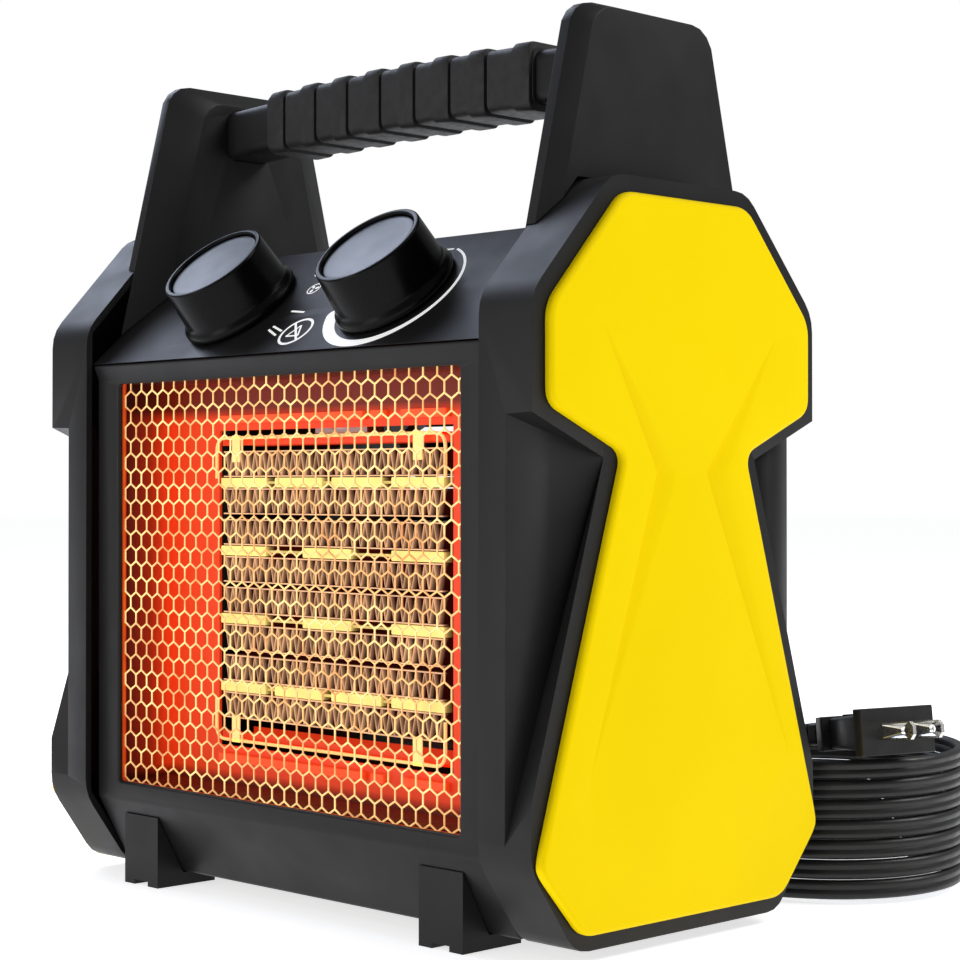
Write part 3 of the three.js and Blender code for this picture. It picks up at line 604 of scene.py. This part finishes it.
def plug_pieces():
    """The moulded two-pin plug: ribbed strain relief, collar, waisted grip and square face."""
    matrix = plug_matrix()
    start = -PLUG["back"]
    build = Build()
    relief = [(start, 8.2, 5.2, 2)]
    for k in range(4):
        at = start + 4 + k * 5.6
        wide = 12.2 + k * 0.75
        high = 7.3 + k * 0.35
        relief += [
            (at - 3.4, wide, high, 1.8), (at, wide, high, 1.8), (at + 0.15, wide - 2.6, high - 1.6, 1.6),
            (at + 1.3, wide - 2.4, high - 1.5, 1.6), (at + 1.45, wide + 0.7, high + 0.3, 1.8),
        ]
    relief.append((start + 26.4, 14.8, 8.8, 2))
    lofted(build, relief)
    lofted(build, [
        (start + 26, 21.4, 11.4, 0.5), (start + 26.3, 22, 12, 0.5),
        (start + 29.5, 23, 12.4, 0.5), (start + 29.9, 22.4, 11.8, 0.5),
    ])
    waist = [(0, 15.4), (0.08, 16.4), (0.25, 19), (0.45, 22), (0.65, 24), (0.85, 24.7), (1, 24.9)]
    lofted(build, [
        (start + 29.7 + 24.3 * t, wide, 11 + (PLUG["thick"] - 11) * t, 1.6) for t, wide in waist
    ])
    lofted(build, [
        (start + 53.7, 32.2, 15.8, 0.6), (start + 54.1, 33, 16.6, 0.6),
        (start + 57.6, 33, 16.6, 0.6), (start + 58, 32.4, 16, 0.6),
    ])
    for side in (1, -1):
        for k in range(9):
            x = (k - 4) * 1.9
            z = side * (PLUG["thick"] / 2 - 0.35)
            build.box((x - 0.45, start + 38, z - 0.5), (x + 0.45, start + 50, z + 0.5))
    build.points = [matrix @ p for p in build.points]
    body = build.piece("plug_moulding", "cord", "casing", "cord_rubber", ("plug_body",), 40)
    return [body, *(plug_blade(matrix, name, side) for name, side in (("left", -1), ("right", 1)))]


def plug_blade(matrix, name, side):
    """A flat blade with a chamfered nose and a small round hole."""
    root = -PLUG["back"] + 50
    tip = 58 - PLUG["back"] + 15.9
    half, cut, nose = 3.1, 1.6, 1.7
    hole_at, hole_radius = tip - 4.5, 1.6
    outline = [
        (root, -half), (tip - cut, -half), (tip, -half + nose),
        (tip, half - nose), (tip - cut, half), (root, half),
    ]
    hole = [
        (hole_at + hole_radius * cos(a), hole_radius * sin(a))
        for a in (pi * k / 10 for k in range(20))
    ]
    points = [Vector(p) for p in outline + hole]
    edges = [(k, (k + 1) % 6) for k in range(6)] + [(6 + k, 6 + (k + 1) % 20) for k in range(20)]
    flat, _, triangles, *_ = delaunay_2d_cdt(points, edges, [], 1, 1e-6)
    build = Build()
    thick = 0.72
    kept = []
    for triangle in triangles:
        middle = sum((flat[k] for k in triangle), Vector((0, 0))) / 3
        if (middle - Vector((hole_at, 0))).length > 1.45:
            kept.append(triangle)
    x = side * PLUG["spacing"] / 2
    count = len(flat)
    faces = [tuple(t) for t in kept] + [tuple(count + k for k in reversed(t)) for t in kept]
    for ring in (range(6), range(6, 26)):
        ring = list(ring)
        for a, b in zip(ring, ring[1:] + ring[:1]):
            faces.append((a, b, count + b, count + a))
    build.add([matrix @ Vector((x + out, p.x, p.y)) for out in (-thick, thick) for p in flat], faces)
    return build.piece("plug_pin_" + name, "brass", "casing", "brass", ("plug_blade_" + name,))


def strain_relief():
    """The tapered, ribbed sleeve that the lead comes out of."""
    low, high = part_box("cord_gland")
    centre = ((low.x + high.x) / 2 / MM, 0, (low.z + high.z) / 2 / MM)
    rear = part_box("rear_cover")[1].y / MM
    end = high.y / MM
    profile = [
        (0, rear - 5.9), (7.8, rear - 5.8), (7.9, rear - 3.4), (5.9, rear - 3.2), (5.9, rear + 0.45),
        (8.6, rear + 0.45), (8.95, rear + 0.9), (8.9, rear + 2.6), (8.3, rear + 3.1), (6.3, rear + 3.9),
    ]
    ribs = 7
    first = rear + 4.6
    step = (end - 1.6 - first) / ribs
    for k in range(ribs):
        radius = 6.1 - 1.7 * k / ribs
        at = first + k * step
        profile += [
            (radius, at), (radius, at + step * 0.62),
            (radius - 0.8, at + step * 0.68), (radius - 0.8, at + step * 0.95),
        ]
    profile += [(4.4, end - 1.4), (4.3, end - 0.3), (3.8, end), (0, end)]
    build = Build()
    build.turn(profile, centre, (0, 1, 0), 40)
    return build.piece("strain_relief", "cord", "casing", "cord_rubber", ("cord_gland",), 40)


mains_lead()


# ---- casing
def side_panel(name, side):
    """The raised yellow plate, with four tapering grooves that meet at its waist."""
    low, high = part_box(name)
    inner = (low.x if side > 0 else -high.x) / MM
    outer = (high.x if side > 0 else -low.x) / MM
    half = [
        (30.7, 241.2), (64.3, 204.1), (64.3, 173.4), (30.2, 158.6), (68.6, 34.5), (68.2, 30.5), (49.4, 9.2),
    ]
    outline = half + [(-y, z) for y, z in reversed(half)]
    outline.reverse()
    edge = rounded_loop(outline, 5.2, 7)
    if sum(a.x * b.y - a.y * b.x for a, b in zip(edge, edge[1:] + edge[:1])) < 0:
        edge.reverse()
    fillet = 1.9
    build = Build()
    rings = [[(inner, p.x, p.y) for p in inset_loop(edge, 0.02)]]
    for k in range(7):
        angle = pi / 2 * k / 6
        drop = fillet * (1 - sin(angle))
        rings.append([
            (outer - drop, p.x, p.y) for p in inset_loop(edge, 0.02 + fillet * (1 - cos(angle)))
        ])
    build.tube(rings, caps=False)
    face = inset_loop(edge, 0.02 + fillet)
    build.add([(inner, p.x, p.y) for p in inset_loop(edge, 0.02)], [tuple(range(len(edge)))])
    waist = 152.8
    grooves = [
        ((-41.9, 200.4), -15.8, -4.5), ((45.2, 198.3), 8.5, 20.4),
        ((-47.9, 56.5), -15.8, -4.5), ((52.7, 56), 8.5, 20.4),
    ]
    depth = 2.5

    def sink(y, z):
        for (tip_y, tip_z), crisp, soft in grooves:
            u = (z - tip_z) / (waist - tip_z)
            if not 0 < u <= 1:
                continue
            left = tip_y + (crisp - tip_y) * u
            right = tip_y + (soft - tip_y) * u
            if left < y < right:
                v = (y - left) / (right - left)
                wall = 0.1
                if v < wall:
                    return depth * u * v / wall
                return depth * u * (1 - (v - wall) / (1 - wall)) ** 1.25
        return 0

    points = list(face)
    edges = [(k, (k + 1) % len(face)) for k in range(len(face))]

    def line(start, end, steps):
        first = len(points)
        for k in range(steps + 1):
            points.append(Vector(start).lerp(Vector(end), k / steps))
        edges.extend((first + k, first + k + 1) for k in range(steps))

    for (tip_y, tip_z), crisp, soft in grooves:
        for share in (0, 0.1, 0.28, 0.46, 0.64, 0.82, 1):
            line((tip_y, tip_z), (crisp + (soft - crisp) * share, waist), 24)
    for crisp, soft in ((-15.8, -4.5), (8.5, 20.4)):
        line((crisp, waist), (soft, waist), 10)
    flat, _, triangles, *_ = delaunay_2d_cdt(points, edges, [], 1, 1e-5)
    build.add([(outer - sink(p.x, p.y), p.x, p.y) for p in flat], [tuple(t) for t in triangles])
    if side < 0:
        build.points = [Vector((-p[0], p[1], p[2])) for p in build.points]
        build.faces = [list(reversed(face)) for face in build.faces]
    build.piece(name + "_face", "yellow", "casing", "yellow_plastic", (name,), 14)


def casing_skins():
    rounded_parts = {
        "right_side_shell": 2.4, "left_side_shell": 2.4, "front_bezel": 1.2, "control_panel": 0.8,
        "rear_cover": 1.6, "right_tower": 1.6, "left_tower": 1.6, "foot_front_right": 1.2,
        "foot_front_left": 1.2, "foot_rear_right": 1.2, "foot_rear_left": 1.2, "base_pan": 0.6,
    }
    for node, width in rounded_parts.items():
        soften(node, width)


def rear_grille():
    """The intake grille: three columns of slots in a plate with rounded edges."""
    low, high = (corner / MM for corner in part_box("rear_grille"))
    border, post, rows, bar = 6, 4, 13, 3.2
    width = high.x
    xs = [-width, -width + border]
    for middle in (-width / 3, width / 3):
        xs += [middle - post / 2, middle + post / 2]
    xs += [width - border, width]
    fitting = 0.3
    step = (high.z - low.z + 2 * fitting - 2 * border) / rows
    zs = [low.z]
    for row in range(rows):
        start = low.z - fitting + border + row * step + bar / 2
        zs += [start, start + step - bar]
    zs.append(high.z)
    corner_cut = border * (1 - sqrt(0.5))
    points = []
    for y in (low.y, high.y):
        for i, x in enumerate(xs):
            for j, z in enumerate(zs):
                at_corner = i in (0, len(xs) - 1) and j in (0, len(zs) - 1)
                pull = corner_cut if at_corner else 0
                points.append((x - copysign(pull, x), y, z + (pull if j == 0 else -pull)))
    tall = len(zs)
    layer = len(xs) * tall
    solid = {
        (i, j) for i in range(len(xs) - 1) for j in range(tall - 1) if not (i % 2 and j % 2)
    }
    faces = []
    for i, j in sorted(solid):
        a, b, c, d = i * tall + j, (i + 1) * tall + j, (i + 1) * tall + j + 1, i * tall + j + 1
        faces += [(a, b, c, d), (a + layer, d + layer, c + layer, b + layer)]
        sides = (((i, j - 1), a, b), ((i + 1, j), b, c), ((i, j + 1), c, d), ((i - 1, j), d, a))
        for near, p, q in sides:
            if near not in solid:
                faces.append((p, p + layer, q + layer, q))
    piece = from_points(
        "rear_grille_face", points, faces, "black", "casing", ("rear_grille",), 60,
    )
    bevel_edges(piece, 0.45, 3, 28).harden_normals = True


# ---- handle
def arch(x):
    return HANDLE["z"] + HANDLE["rise"] * (1 - (x / HANDLE["end"]) ** 2)


def handle_section(x, depth, low, high, corner):
    """A rounded rectangle round the handle's centre line at x, reaching `low` below and `high` above."""
    y, z = HANDLE["y"], arch(x)
    outline = [(-depth / 2, -low), (depth / 2, -low), (depth / 2, high), (-depth / 2, high)]
    return [(x, y + p.x, z + p.y) for p in rounded_loop(outline, corner, 5)]


def handle():
    core = Build()
    steps = 40
    end = HANDLE["end"]
    half = HANDLE["height"] / 2
    core.tube([
        handle_section(-end + 2 * end * k / steps, HANDLE["depth"], half, half, 4) for k in range(steps + 1)
    ])
    core.piece("handle_bar", "black", "casing", "black_plastic", ("handle_core",))
    grip = Build()
    shares = [0.6] + [1] * (HANDLE["ribs"] - 2) + [1.2]
    start = -HANDLE["grip"]
    wide = HANDLE["depth"] + 5.5
    low = half + 1.6
    high = half + 2.75
    rings = []
    for share in shares:
        pitch = 2 * HANDLE["grip"] * share / sum(shares)
        stations = [
            (0.02, 1.5, 1.2), (0.5, 1.5, 1.2), (0.75, 0.25, 0), (1.1, 0, 0), (pitch - 9.6, 0, 0),
            (pitch - 8.2, 0, 1.15), (pitch - 1.3, 0, 1.15), (pitch - 0.75, 0.25, 1),
            (pitch - 0.5, 1.5, 0.2), (pitch - 0.02, 1.5, 0.2),
        ]
        for along, pinch, lift in stations:
            x = start + along
            top = low - 0.1 + lift - pinch * 0.7 if pinch > 1 else low + lift
            bottom = low - pinch * 0.7 if pinch > 1 else low + lift * 0.8
            rings.append(handle_section(x, wide - 2 * pinch, bottom, min(high, top), 3.6))
        start += pitch
    grip.tube(rings)
    grip.piece("handle_sleeve", "grip", "casing", "grip_rubber", ("handle_grip",), 32)


# ---- outlet: wire mesh, duct, heating element
def wire_ring(centre, across, radius, sides):
    """A round section of a wire that runs square to Y."""
    return [
        centre + Vector((0, 1, 0)) * radius * cos(t) + across * radius * sin(t)
        for t in (2 * pi * k / sides for k in range(sides))
    ]


def outlet_mesh():
    """Welded wire in pointed-top hexagons, held in a flat rim behind the bezel."""
    low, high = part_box("outlet_mesh")
    y = (low.y + high.y) / 2 / MM
    reach = high.x / MM
    bottom, top = low.z / MM, high.z / MM
    columns = 27.5
    pitch = 2 * OPENING_HALF / columns
    side = pitch / sqrt(3)
    row_pitch = side * 1.5
    rows = int((top - bottom) / row_pitch) + 3
    joints = {}
    wires = set()

    def joint(x, z):
        key = (round(x, 2), round(z, 2))
        joints.setdefault(key, (x, z))
        return key

    for row in range(-1, rows):
        for column in range(-1, int(columns) + 3):
            x = -OPENING_HALF + (column + (0.5 if row % 2 else 0)) * pitch
            z = bottom + row * row_pitch
            corners = [
                joint(x + side * cos(a), z + side * sin(a))
                for a in (radians(30 + 60 * k) for k in range(6))
            ]
            for a, b in zip(corners, corners[1:] + corners[:1]):
                wires.add((min(a, b), max(a, b)))
    build = Build()
    radius, margin = 0.34, 0.4
    for a, b in sorted(wires):
        ends = [joints[a], joints[b]]
        if not all(abs(x) <= reach - margin and bottom + margin <= z <= top - margin for x, z in ends):
            continue
        start, end = (Vector((x, y, z)) for x, z in ends)
        along = (end - start).normalized()
        across = Vector((0, 1, 0)).cross(along)
        overlap = along * radius * 0.45
        build.tube([wire_ring(p, across, radius, 6) for p in (start - overlap, end + overlap)])
    build.piece("wire_mesh", "wire", "casing", "mesh_wire", ("outlet_mesh",))
    build = Build()
    rim = 2.2
    for x0, x1, z0, z1 in (
        (-reach, reach, bottom, bottom + rim), (-reach, reach, top - rim, top),
        (-reach, -reach + rim, bottom + rim, top - rim), (reach - rim, reach, bottom + rim, top - rim),
    ):
        build.box((x0, low.y / MM, z0), (x1, high.y / MM, z1))
    build.piece("mesh_rim", "rim", "casing", "mesh_wire")


def duct():
    """The box behind the mesh, with painted glow that brightens towards its back and painted shade towards
    the front and above and below the element, and short ledges above and below the element.
    """
    paint("outlet_duct", "duct")
    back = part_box("outlet_duct")[1].y / MM - 1.25
    build = Build()
    near, far = 4.6, 7.4
    above, below = ELEMENT["high"], ELEMENT["low"]
    for z0, z1 in ((above + near, above + far), (below - far, below - near)):
        for x0, x1 in ((-60, 20), (24.5, 31), (40, 62)):
            build.box((x0, back - 2.6, z0), (x1, back - 0.1, z1))
    build.piece("duct_ledges", "ledge", "casing", "duct_metal")


def ceramic_rows():
    """Four rows of ceramic plates on their electrode strips, seen as pale bars with dark gaps."""
    for row in range(4):
        low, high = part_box(f"ptc_plate_row_{row + 1}")
        z = (low.z + high.z) / 2 / MM
        plates = 4 if row in (0, 3) else 3
        half = ELEMENT["half"] - 1
        length = 26
        y0, y1 = ELEMENT["front"] + 1, ELEMENT["rear"] - 1
        build = Build()
        # painted shade: the strip sits behind the plates' fronts, so the ceramic look paints it darker,
        # which makes the gaps between plates dark
        build.box((-half, y0 + 0.3, z - 0.45), (half, y1 - 0.3, z + 0.45))
        for k in range(plates):
            x = -half + k * (2 * half - length) / (plates - 1)
            chip, tall, end = 0.35, 1.75, x + length
            profile = [
                (x, -tall + chip), (x + chip, -tall), (end - chip, -tall), (end, -tall + chip),
                (end, tall - chip), (end - chip, tall), (x + chip, tall), (x, tall - chip),
            ]
            build.tube([[(u, y, z + v) for u, v in profile] for y in (y0 - 0.7, y1 + 0.7)])
        stands_for = (f"ptc_plate_row_{row + 1}",)
        build.piece(f"ceramic_row_{row + 1}", "ceramic", "casing", "ptc_ceramic", stands_for)


def fin_strips():
    """Thin aluminium ribbon folded into a zig-zag between two flat bands."""
    folds = 54
    half = ELEMENT["half"] - 2
    y0, y1 = ELEMENT["front"] + 1, ELEMENT["rear"] - 1
    for strip in range(1, 9):
        low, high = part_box(f"fin_strip_{strip}")
        bottom, top = low.z / MM, high.z / MM
        build = Build()
        for z in (bottom + 0.25, top - 0.25):
            build.box((-half, y0 - 0.3, z - 0.22), (half, y1 + 0.3, z + 0.22))
        line = []
        for k in range(folds + 1):
            x = -half + 0.5 + (2 * half - 1) * k / folds
            z = bottom + 0.75 if k % 2 else top - 0.75
            line += [(x - 0.22, z), (x + 0.22, z)]
        thick = 0.13
        for (xa, za), (xb, zb) in zip(line, line[1:]):
            across = Vector((zb - za, xa - xb)).normalized() * thick
            quad = [
                (xa + across.x, za + across.y), (xb + across.x, zb + across.y),
                (xb - across.x, zb - across.y), (xa - across.x, za - across.y),
            ]
            build.tube([[(x, y, z) for x, z in quad] for y in (y0, y1)])
        build.piece(f"fins_{strip}", "fin", "casing", "fin_aluminium", (f"fin_strip_{strip}",), 20)


def element_frame():
    """The bent retaining wire and its clips, and the rails that grip the element's edges."""
    front, rear = ELEMENT["front"], ELEMENT["rear"]
    half = ELEMENT["half"] + 0.6
    for end, z0 in (("top", ELEMENT["high"] - 3.6), ("bottom", ELEMENT["low"] + 0.4)):
        node = "element_rail_" + end
        build = Build()
        upper = end == "top"
        base = z0 + 2.2 if upper else z0
        build.box((-half, front + 2.2, base), (half, rear - 0.2, base + 1))
        for y in (front + 2.2, rear - 1):
            build.box((-half, y, z0), (half, y + 0.8, z0 + 3.2))
        # painted glow: the rails take the duct's emitted red and its painted shade
        build.piece(node + "_channel", "duct", "casing", "heatproof_plastic", (node,))
        build = Build()
        z = ELEMENT["high"] - 0.8 if upper else ELEMENT["low"] + 0.8
        turn = -1 if upper else 1
        bent = [(-half, z + turn * 15), (-half, z), (half, z), (half, z + turn * 15)]
        line = rounded([(x, front - 0.5, zz) for x, zz in bent], 5, 6)
        rings = []
        for i, p in enumerate(line):
            ahead = (line[min(i + 1, len(line) - 1)] - line[max(i - 1, 0)]).normalized()
            rings.append(wire_ring(p, Vector((0, 1, 0)).cross(ahead), 0.6, 8))
        build.tube(rings)
        for x in (-49, 49):
            top = z + 0.8 if upper else z + 9.2
            build.box((x - 2.2, front - 1.55, top - 9.8), (x + 2.2, front - 1.1, top))
            build.box((x - 2.2, front - 1.55, z - 0.35), (x + 2.2, front + 2.4, z + 0.35))
        # painted glow: the wire and clips emit pale light at the front, with painted shade further back
        build.piece(node + "_wire", "clip", "casing", "steel")


# ---- dials and their markings
def on_panel(x, up, out=0.0):
    return Vector((x, 0, 0)) + PANEL_FOOT + PANEL_UP * up + PANEL_OUT * out


def dial(side, name, body):
    """A flared dial with a rounded rim and a recessed disc in its top."""
    seat = on_panel(side * DIAL["x"], DIAL["up"])
    foot, top, height = DIAL["foot"], DIAL["top"], DIAL["height"]
    outer = rounded([
        (3.1, 14), (3.1, 0.8), (foot - 2.4, 0.65), (foot, 0.65), (foot, 3), (top + 1.1, 5.2),
        (top + 0.05, height - 0.02), (top - 2, height), (top - 2, height - 2.4), (0, height - 2.4),
    ], 0.9, 4)
    build = Build()
    build.turn([(0, 14)] + [(p.x, p.y) for p in outer], seat, PANEL_OUT, 128)
    build.piece(name + "_skirt", "black_smooth", body, "black_plastic", (name,), 40)
    cap = Build()
    radius = top - 2.35
    dish = [(radius, height - 2.25), (radius, height - 1.55), (radius - 0.5, height - 1.2)]
    dish += [(radius * k / 10, height - 1.2 - 0.55 * (1 - (k / 10) ** 2)) for k in range(9, -1, -1)]
    cap.turn([(0, height - 2.25)] + dish, seat, PANEL_OUT, 128)
    cap.piece(name + "_disc", "cap", body, "cap_plastic", (name + "_cap",), 50)


def ink(build, outline):
    """A printed shape on the control panel; the outline is (x, up) in millimetres."""
    lower = [on_panel(x, up, 0.01) for x, up in outline]
    upper = [on_panel(x, up, 0.07) for x, up in outline]
    build.tube([lower, upper])


def bar(x0, up0, x1, up1, wide):
    along = Vector((x1 - x0, up1 - up0)).normalized()
    side = Vector((-along.y, along.x)) * wide / 2
    return [
        (x0 - side.x, up0 - side.y), (x1 - side.x, up1 - side.y),
        (x1 + side.x, up1 + side.y), (x0 + side.x, up0 + side.y),
    ]


def around(side, radius, clockwise):
    """A point round a dial's centre; the angle is clockwise from straight up the panel, in degrees."""
    angle = radians(clockwise)
    return (side * DIAL["x"] + radius * sin(angle), DIAL["up"] + radius * cos(angle))


def ring_band(build, centre, inner, outer, steps):
    for k in range(steps):
        a, b = 2 * pi * k / steps, 2 * pi * (k + 1) / steps
        ink(build, [
            (centre[0] + r * cos(t), centre[1] + r * sin(t))
            for r, t in ((inner, a), (outer, a), (outer, b), (inner, b))
        ])


def markings():
    """Heat scale round the right dial, and step marks beside the left one."""
    build = Build()
    steps = 72
    first, last = 25, 250
    middle = 26.1

    def half_width(t):
        return 0.42 + 2.2 * t ** 1.6

    def edge(t, sign):
        swell = 0.6 * t
        return around(1, middle + swell + sign * half_width(t), first + (last - first) * t)

    for k in range(steps):
        a, b = k / steps, (k + 1) / steps
        ink(build, [edge(a, -1), edge(a, 1), edge(b, 1), edge(b, -1)])
    tip = around(1, middle + 0.6, last)
    reach = half_width(1)
    heading = radians(last)
    across = Vector((sin(heading), cos(heading)))
    onward = Vector((cos(heading), -sin(heading)))
    cap = [
        (Vector(tip) + across * reach * cos(t) + onward * reach * sin(t))[:]
        for t in (pi * k / 10 for k in range(11))
    ]
    ink(build, cap)
    ink(build, bar(46.4, 52.6, 51, 52.6, 0.8))
    for angle, count in ((98.5, 1), (115.5, 2)):
        for k in range(count):
            shift = (k - (count - 1) / 2) * 3.6
            ink(build, bar(*around(-1, 32.8, angle + shift), *around(-1, 41, angle + shift), 0.85))
    centre = (4.3, 11.3)
    ring_band(build, centre, 6.3, 7.3, 44)
    ink(build, bar(centre[0] - 4.4, centre[1] + 4.9, centre[0] + 4.4, centre[1] - 4.9, 0.9))
    for x0, up0, x1, up1 in ((-3.2, -2.4, 3.2, -2.4), (3.2, -2.4, 0, 3.4), (0, 3.4, -3.2, -2.4)):
        ink(build, bar(centre[0] + x0, centre[1] + up0, centre[0] + x1, centre[1] + up1, 0.7))
    fan_at = around(-1, 34.3, 76.5)
    ring_band(build, fan_at, 2.6, 3.05, 28)
    for k in range(3):
        turn = radians(120 * k + 20)
        blade = [(0.3, 0), (1.1, -0.75), (2.2, -0.5), (2.2, 0.35), (1.1, 0.5)]
        c, s = cos(turn), sin(turn)
        ink(build, [(fan_at[0] + u * c - v * s, fan_at[1] + u * s + v * c) for u, v in blade])
    ring_band(build, around(-1, 32.2, 58), 0.75, 1.25, 20)
    build.piece("panel_markings", "ink", "casing", "heatproof_plastic", (), 60)


# ---- fan and inner parts
def fan():
    """Seven twisted blades on a hub with a chamfered nose."""
    low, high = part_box("fan_rotor")
    build = Build()
    hub_front, hub_rear, shaft_end = low.y / MM, low.y / MM + 20, high.y / MM
    z_centre = ELEMENT["middle"]
    hub = rounded([
        (0, hub_front), (10, hub_front), (17, hub_front + 5), (17, hub_rear),
        (2, hub_rear), (2, shaft_end), (0, shaft_end),
    ], 2.5, 5)
    build.turn([(p.x, p.y) for p in hub], (0, 0, z_centre), (0, 1, 0), 64)
    blades = 7
    root, tip = 15.5, 61.2
    section = (
        (-1, 0.35), (-0.5, 0.85), (0, 0.95), (0.5, 0.8), (1, 0.3), (0.5, -0.55), (0, -0.6), (-0.5, -0.55),
    )
    for k in range(blades):
        turn = 2 * pi * k / blades
        rings = []
        for j in range(9):
            r = root + (tip - root) * j / 8
            chord = 15 + 13 * sin(pi * (0.15 + 0.7 * j / 8))
            twist = radians(38 - 17 * j / 8)
            sweep = radians(-10 + 16 * (j / 8) ** 1.4)
            ring = []
            for c, thick in section:
                along = c * chord / 2
                camber = (1 - c * c) * 1.5
                depth = hub_front + 10 + along * sin(twist) + thick + camber
                ring.append((r, sweep * r + along * cos(twist), depth))
            rings.append([
                (
                    rr * cos(turn + off / rr), depth,
                    z_centre + rr * sin(turn + off / rr),
                )
                for rr, off, depth in ring
            ])
        build.tube(rings)
    build.piece("fan_wheel", "fan", "fan", "fan_plastic", ("fan_rotor",), 35)


def rear_screws():
    """Pan-head screws with a cross recess."""
    for number in range(1, 5):
        node = f"rear_screw_{number}"
        low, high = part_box(node)
        centre = Vector(((low.x + high.x) / 2 / MM, low.y / MM, (low.z + high.z) / 2 / MM))
        radius = (high.x - low.x) / 2 / MM
        tall = (high.y - low.y) / MM
        build = Build()
        slot_half, slot_reach, slot_deep, sides = 0.55, 1.9, 1.1, 48
        dome = ((1, 0), (1, 0.45), (0.94, 0.72), (0.8, 0.9), (0.62, 1.0), (0.3, 1.0), (0.02, 1.0))
        rings = []
        for share, level in dome:
            ring = []
            for k in range(sides):
                t = 2 * pi * k / sides
                u, v = radius * share * cos(t), radius * share * sin(t)
                narrow, wide = sorted((abs(u), abs(v)))
                in_slot = narrow < slot_half and wide < slot_reach and share < 0.7
                drop = slot_deep if in_slot else 0
                ring.append((centre.x + u, centre.y + tall * level - drop, centre.z + v))
            rings.append(ring)
        build.tube(rings)
        build.piece(f"pan_head_{number}", "steel", "casing", "steel", (node,), 25)


def inner_parts():
    """The CAD nodes inside the casing, each with its finish and slightly rounded edges."""
    looks = {
        "fan_shroud": "black", "fan_motor": "steel", "motor_bracket": "steel", "mode_shaft": "brass",
        "mode_switch": "heatproof", "thermostat_shaft": "brass", "thermostat": "steel",
        "tip_over_switch": "black", "tip_over_plunger": "heatproof", "terminal_block": "heatproof",
        "thermal_cutoff": "steel",
    }
    for node, look in looks.items():
        paint(node, look)
        bevel_edges(NODES[node], 0.35, 2, 40)


# ---- stage
def area_light(name, place, aim, size, power, colour):
    data = bpy.data.lights.new(name, "AREA")
    data.shape = "DISK"
    data.size = size
    data.energy = power
    data.color = colour
    light = bpy.data.objects.new(name, data)
    light.location = place
    light.rotation_euler = (Vector(aim) - Vector(place)).to_track_quat("-Z", "Y").to_euler()
    show(light)


def room():
    """A white room: plain white to the eye, and a soft even light of its own on the object."""
    world = bpy.data.worlds.new("room")
    bpy.context.scene.world = world
    world.use_nodes = True
    tree = world.node_tree
    soft = tree.nodes["Background"]
    soft.inputs["Color"].default_value = (0.96, 0.98, 1.0, 1)
    soft.inputs["Strength"].default_value = 0.32
    white = tree.nodes.new("ShaderNodeBackground")
    white.inputs["Color"].default_value = (1, 1, 1, 1)
    rays = tree.nodes.new("ShaderNodeLightPath")
    mix = tree.nodes.new("ShaderNodeMixShader")
    tree.links.new(rays.outputs["Is Camera Ray"], mix.inputs[0])
    tree.links.new(soft.outputs[0], mix.inputs[1])
    tree.links.new(white.outputs[0], mix.inputs[2])
    tree.links.new(mix.outputs[0], tree.nodes["World Output"].inputs["Surface"])


def stage():
    reach = 9
    mesh = bpy.data.meshes.new("floor")
    corners = [(-reach, -reach, 0), (reach, -reach, 0), (reach, reach, 0), (-reach, reach, 0)]
    mesh.from_pydata(corners, [], [(0, 1, 2, 3)])
    mesh.materials.append(moulded("floor_paint", (0.9, 0.9, 0.9), 0.65, 300, 0.00002, 0.01, 0.1, 0.7))
    floor = bpy.data.objects.new("floor", mesh)
    show(floor)
    room()
    middle = (0, 0, 0.15)
    area_light("cool_overhead", (-1.25, 0.05, 1.35), middle, 1.3, 16, (0.72, 0.8, 1.0))
    area_light("key_side", (1.15, 0.85, 1.5), middle, 1.0, 21.5, (1.0, 0.98, 0.95))
    area_light("front_fill", (-0.5, -1.9, 0.5), middle, 1.0, 9, (1.0, 0.92, 0.85))
    bpy.context.scene.view_settings.view_transform = "Standard"


side_panel("right_side_panel", 1)
side_panel("left_side_panel", -1)
casing_skins()
rear_grille()
handle()
outlet_mesh()
duct()
ceramic_rows()
fin_strips()
element_frame()
dial(-1, "mode_knob", "mode_dial")
dial(1, "thermostat_knob", "thermostat_dial")
markings()
fan()
rear_screws()
inner_parts()
stage()

bpy.context.view_layer.update()
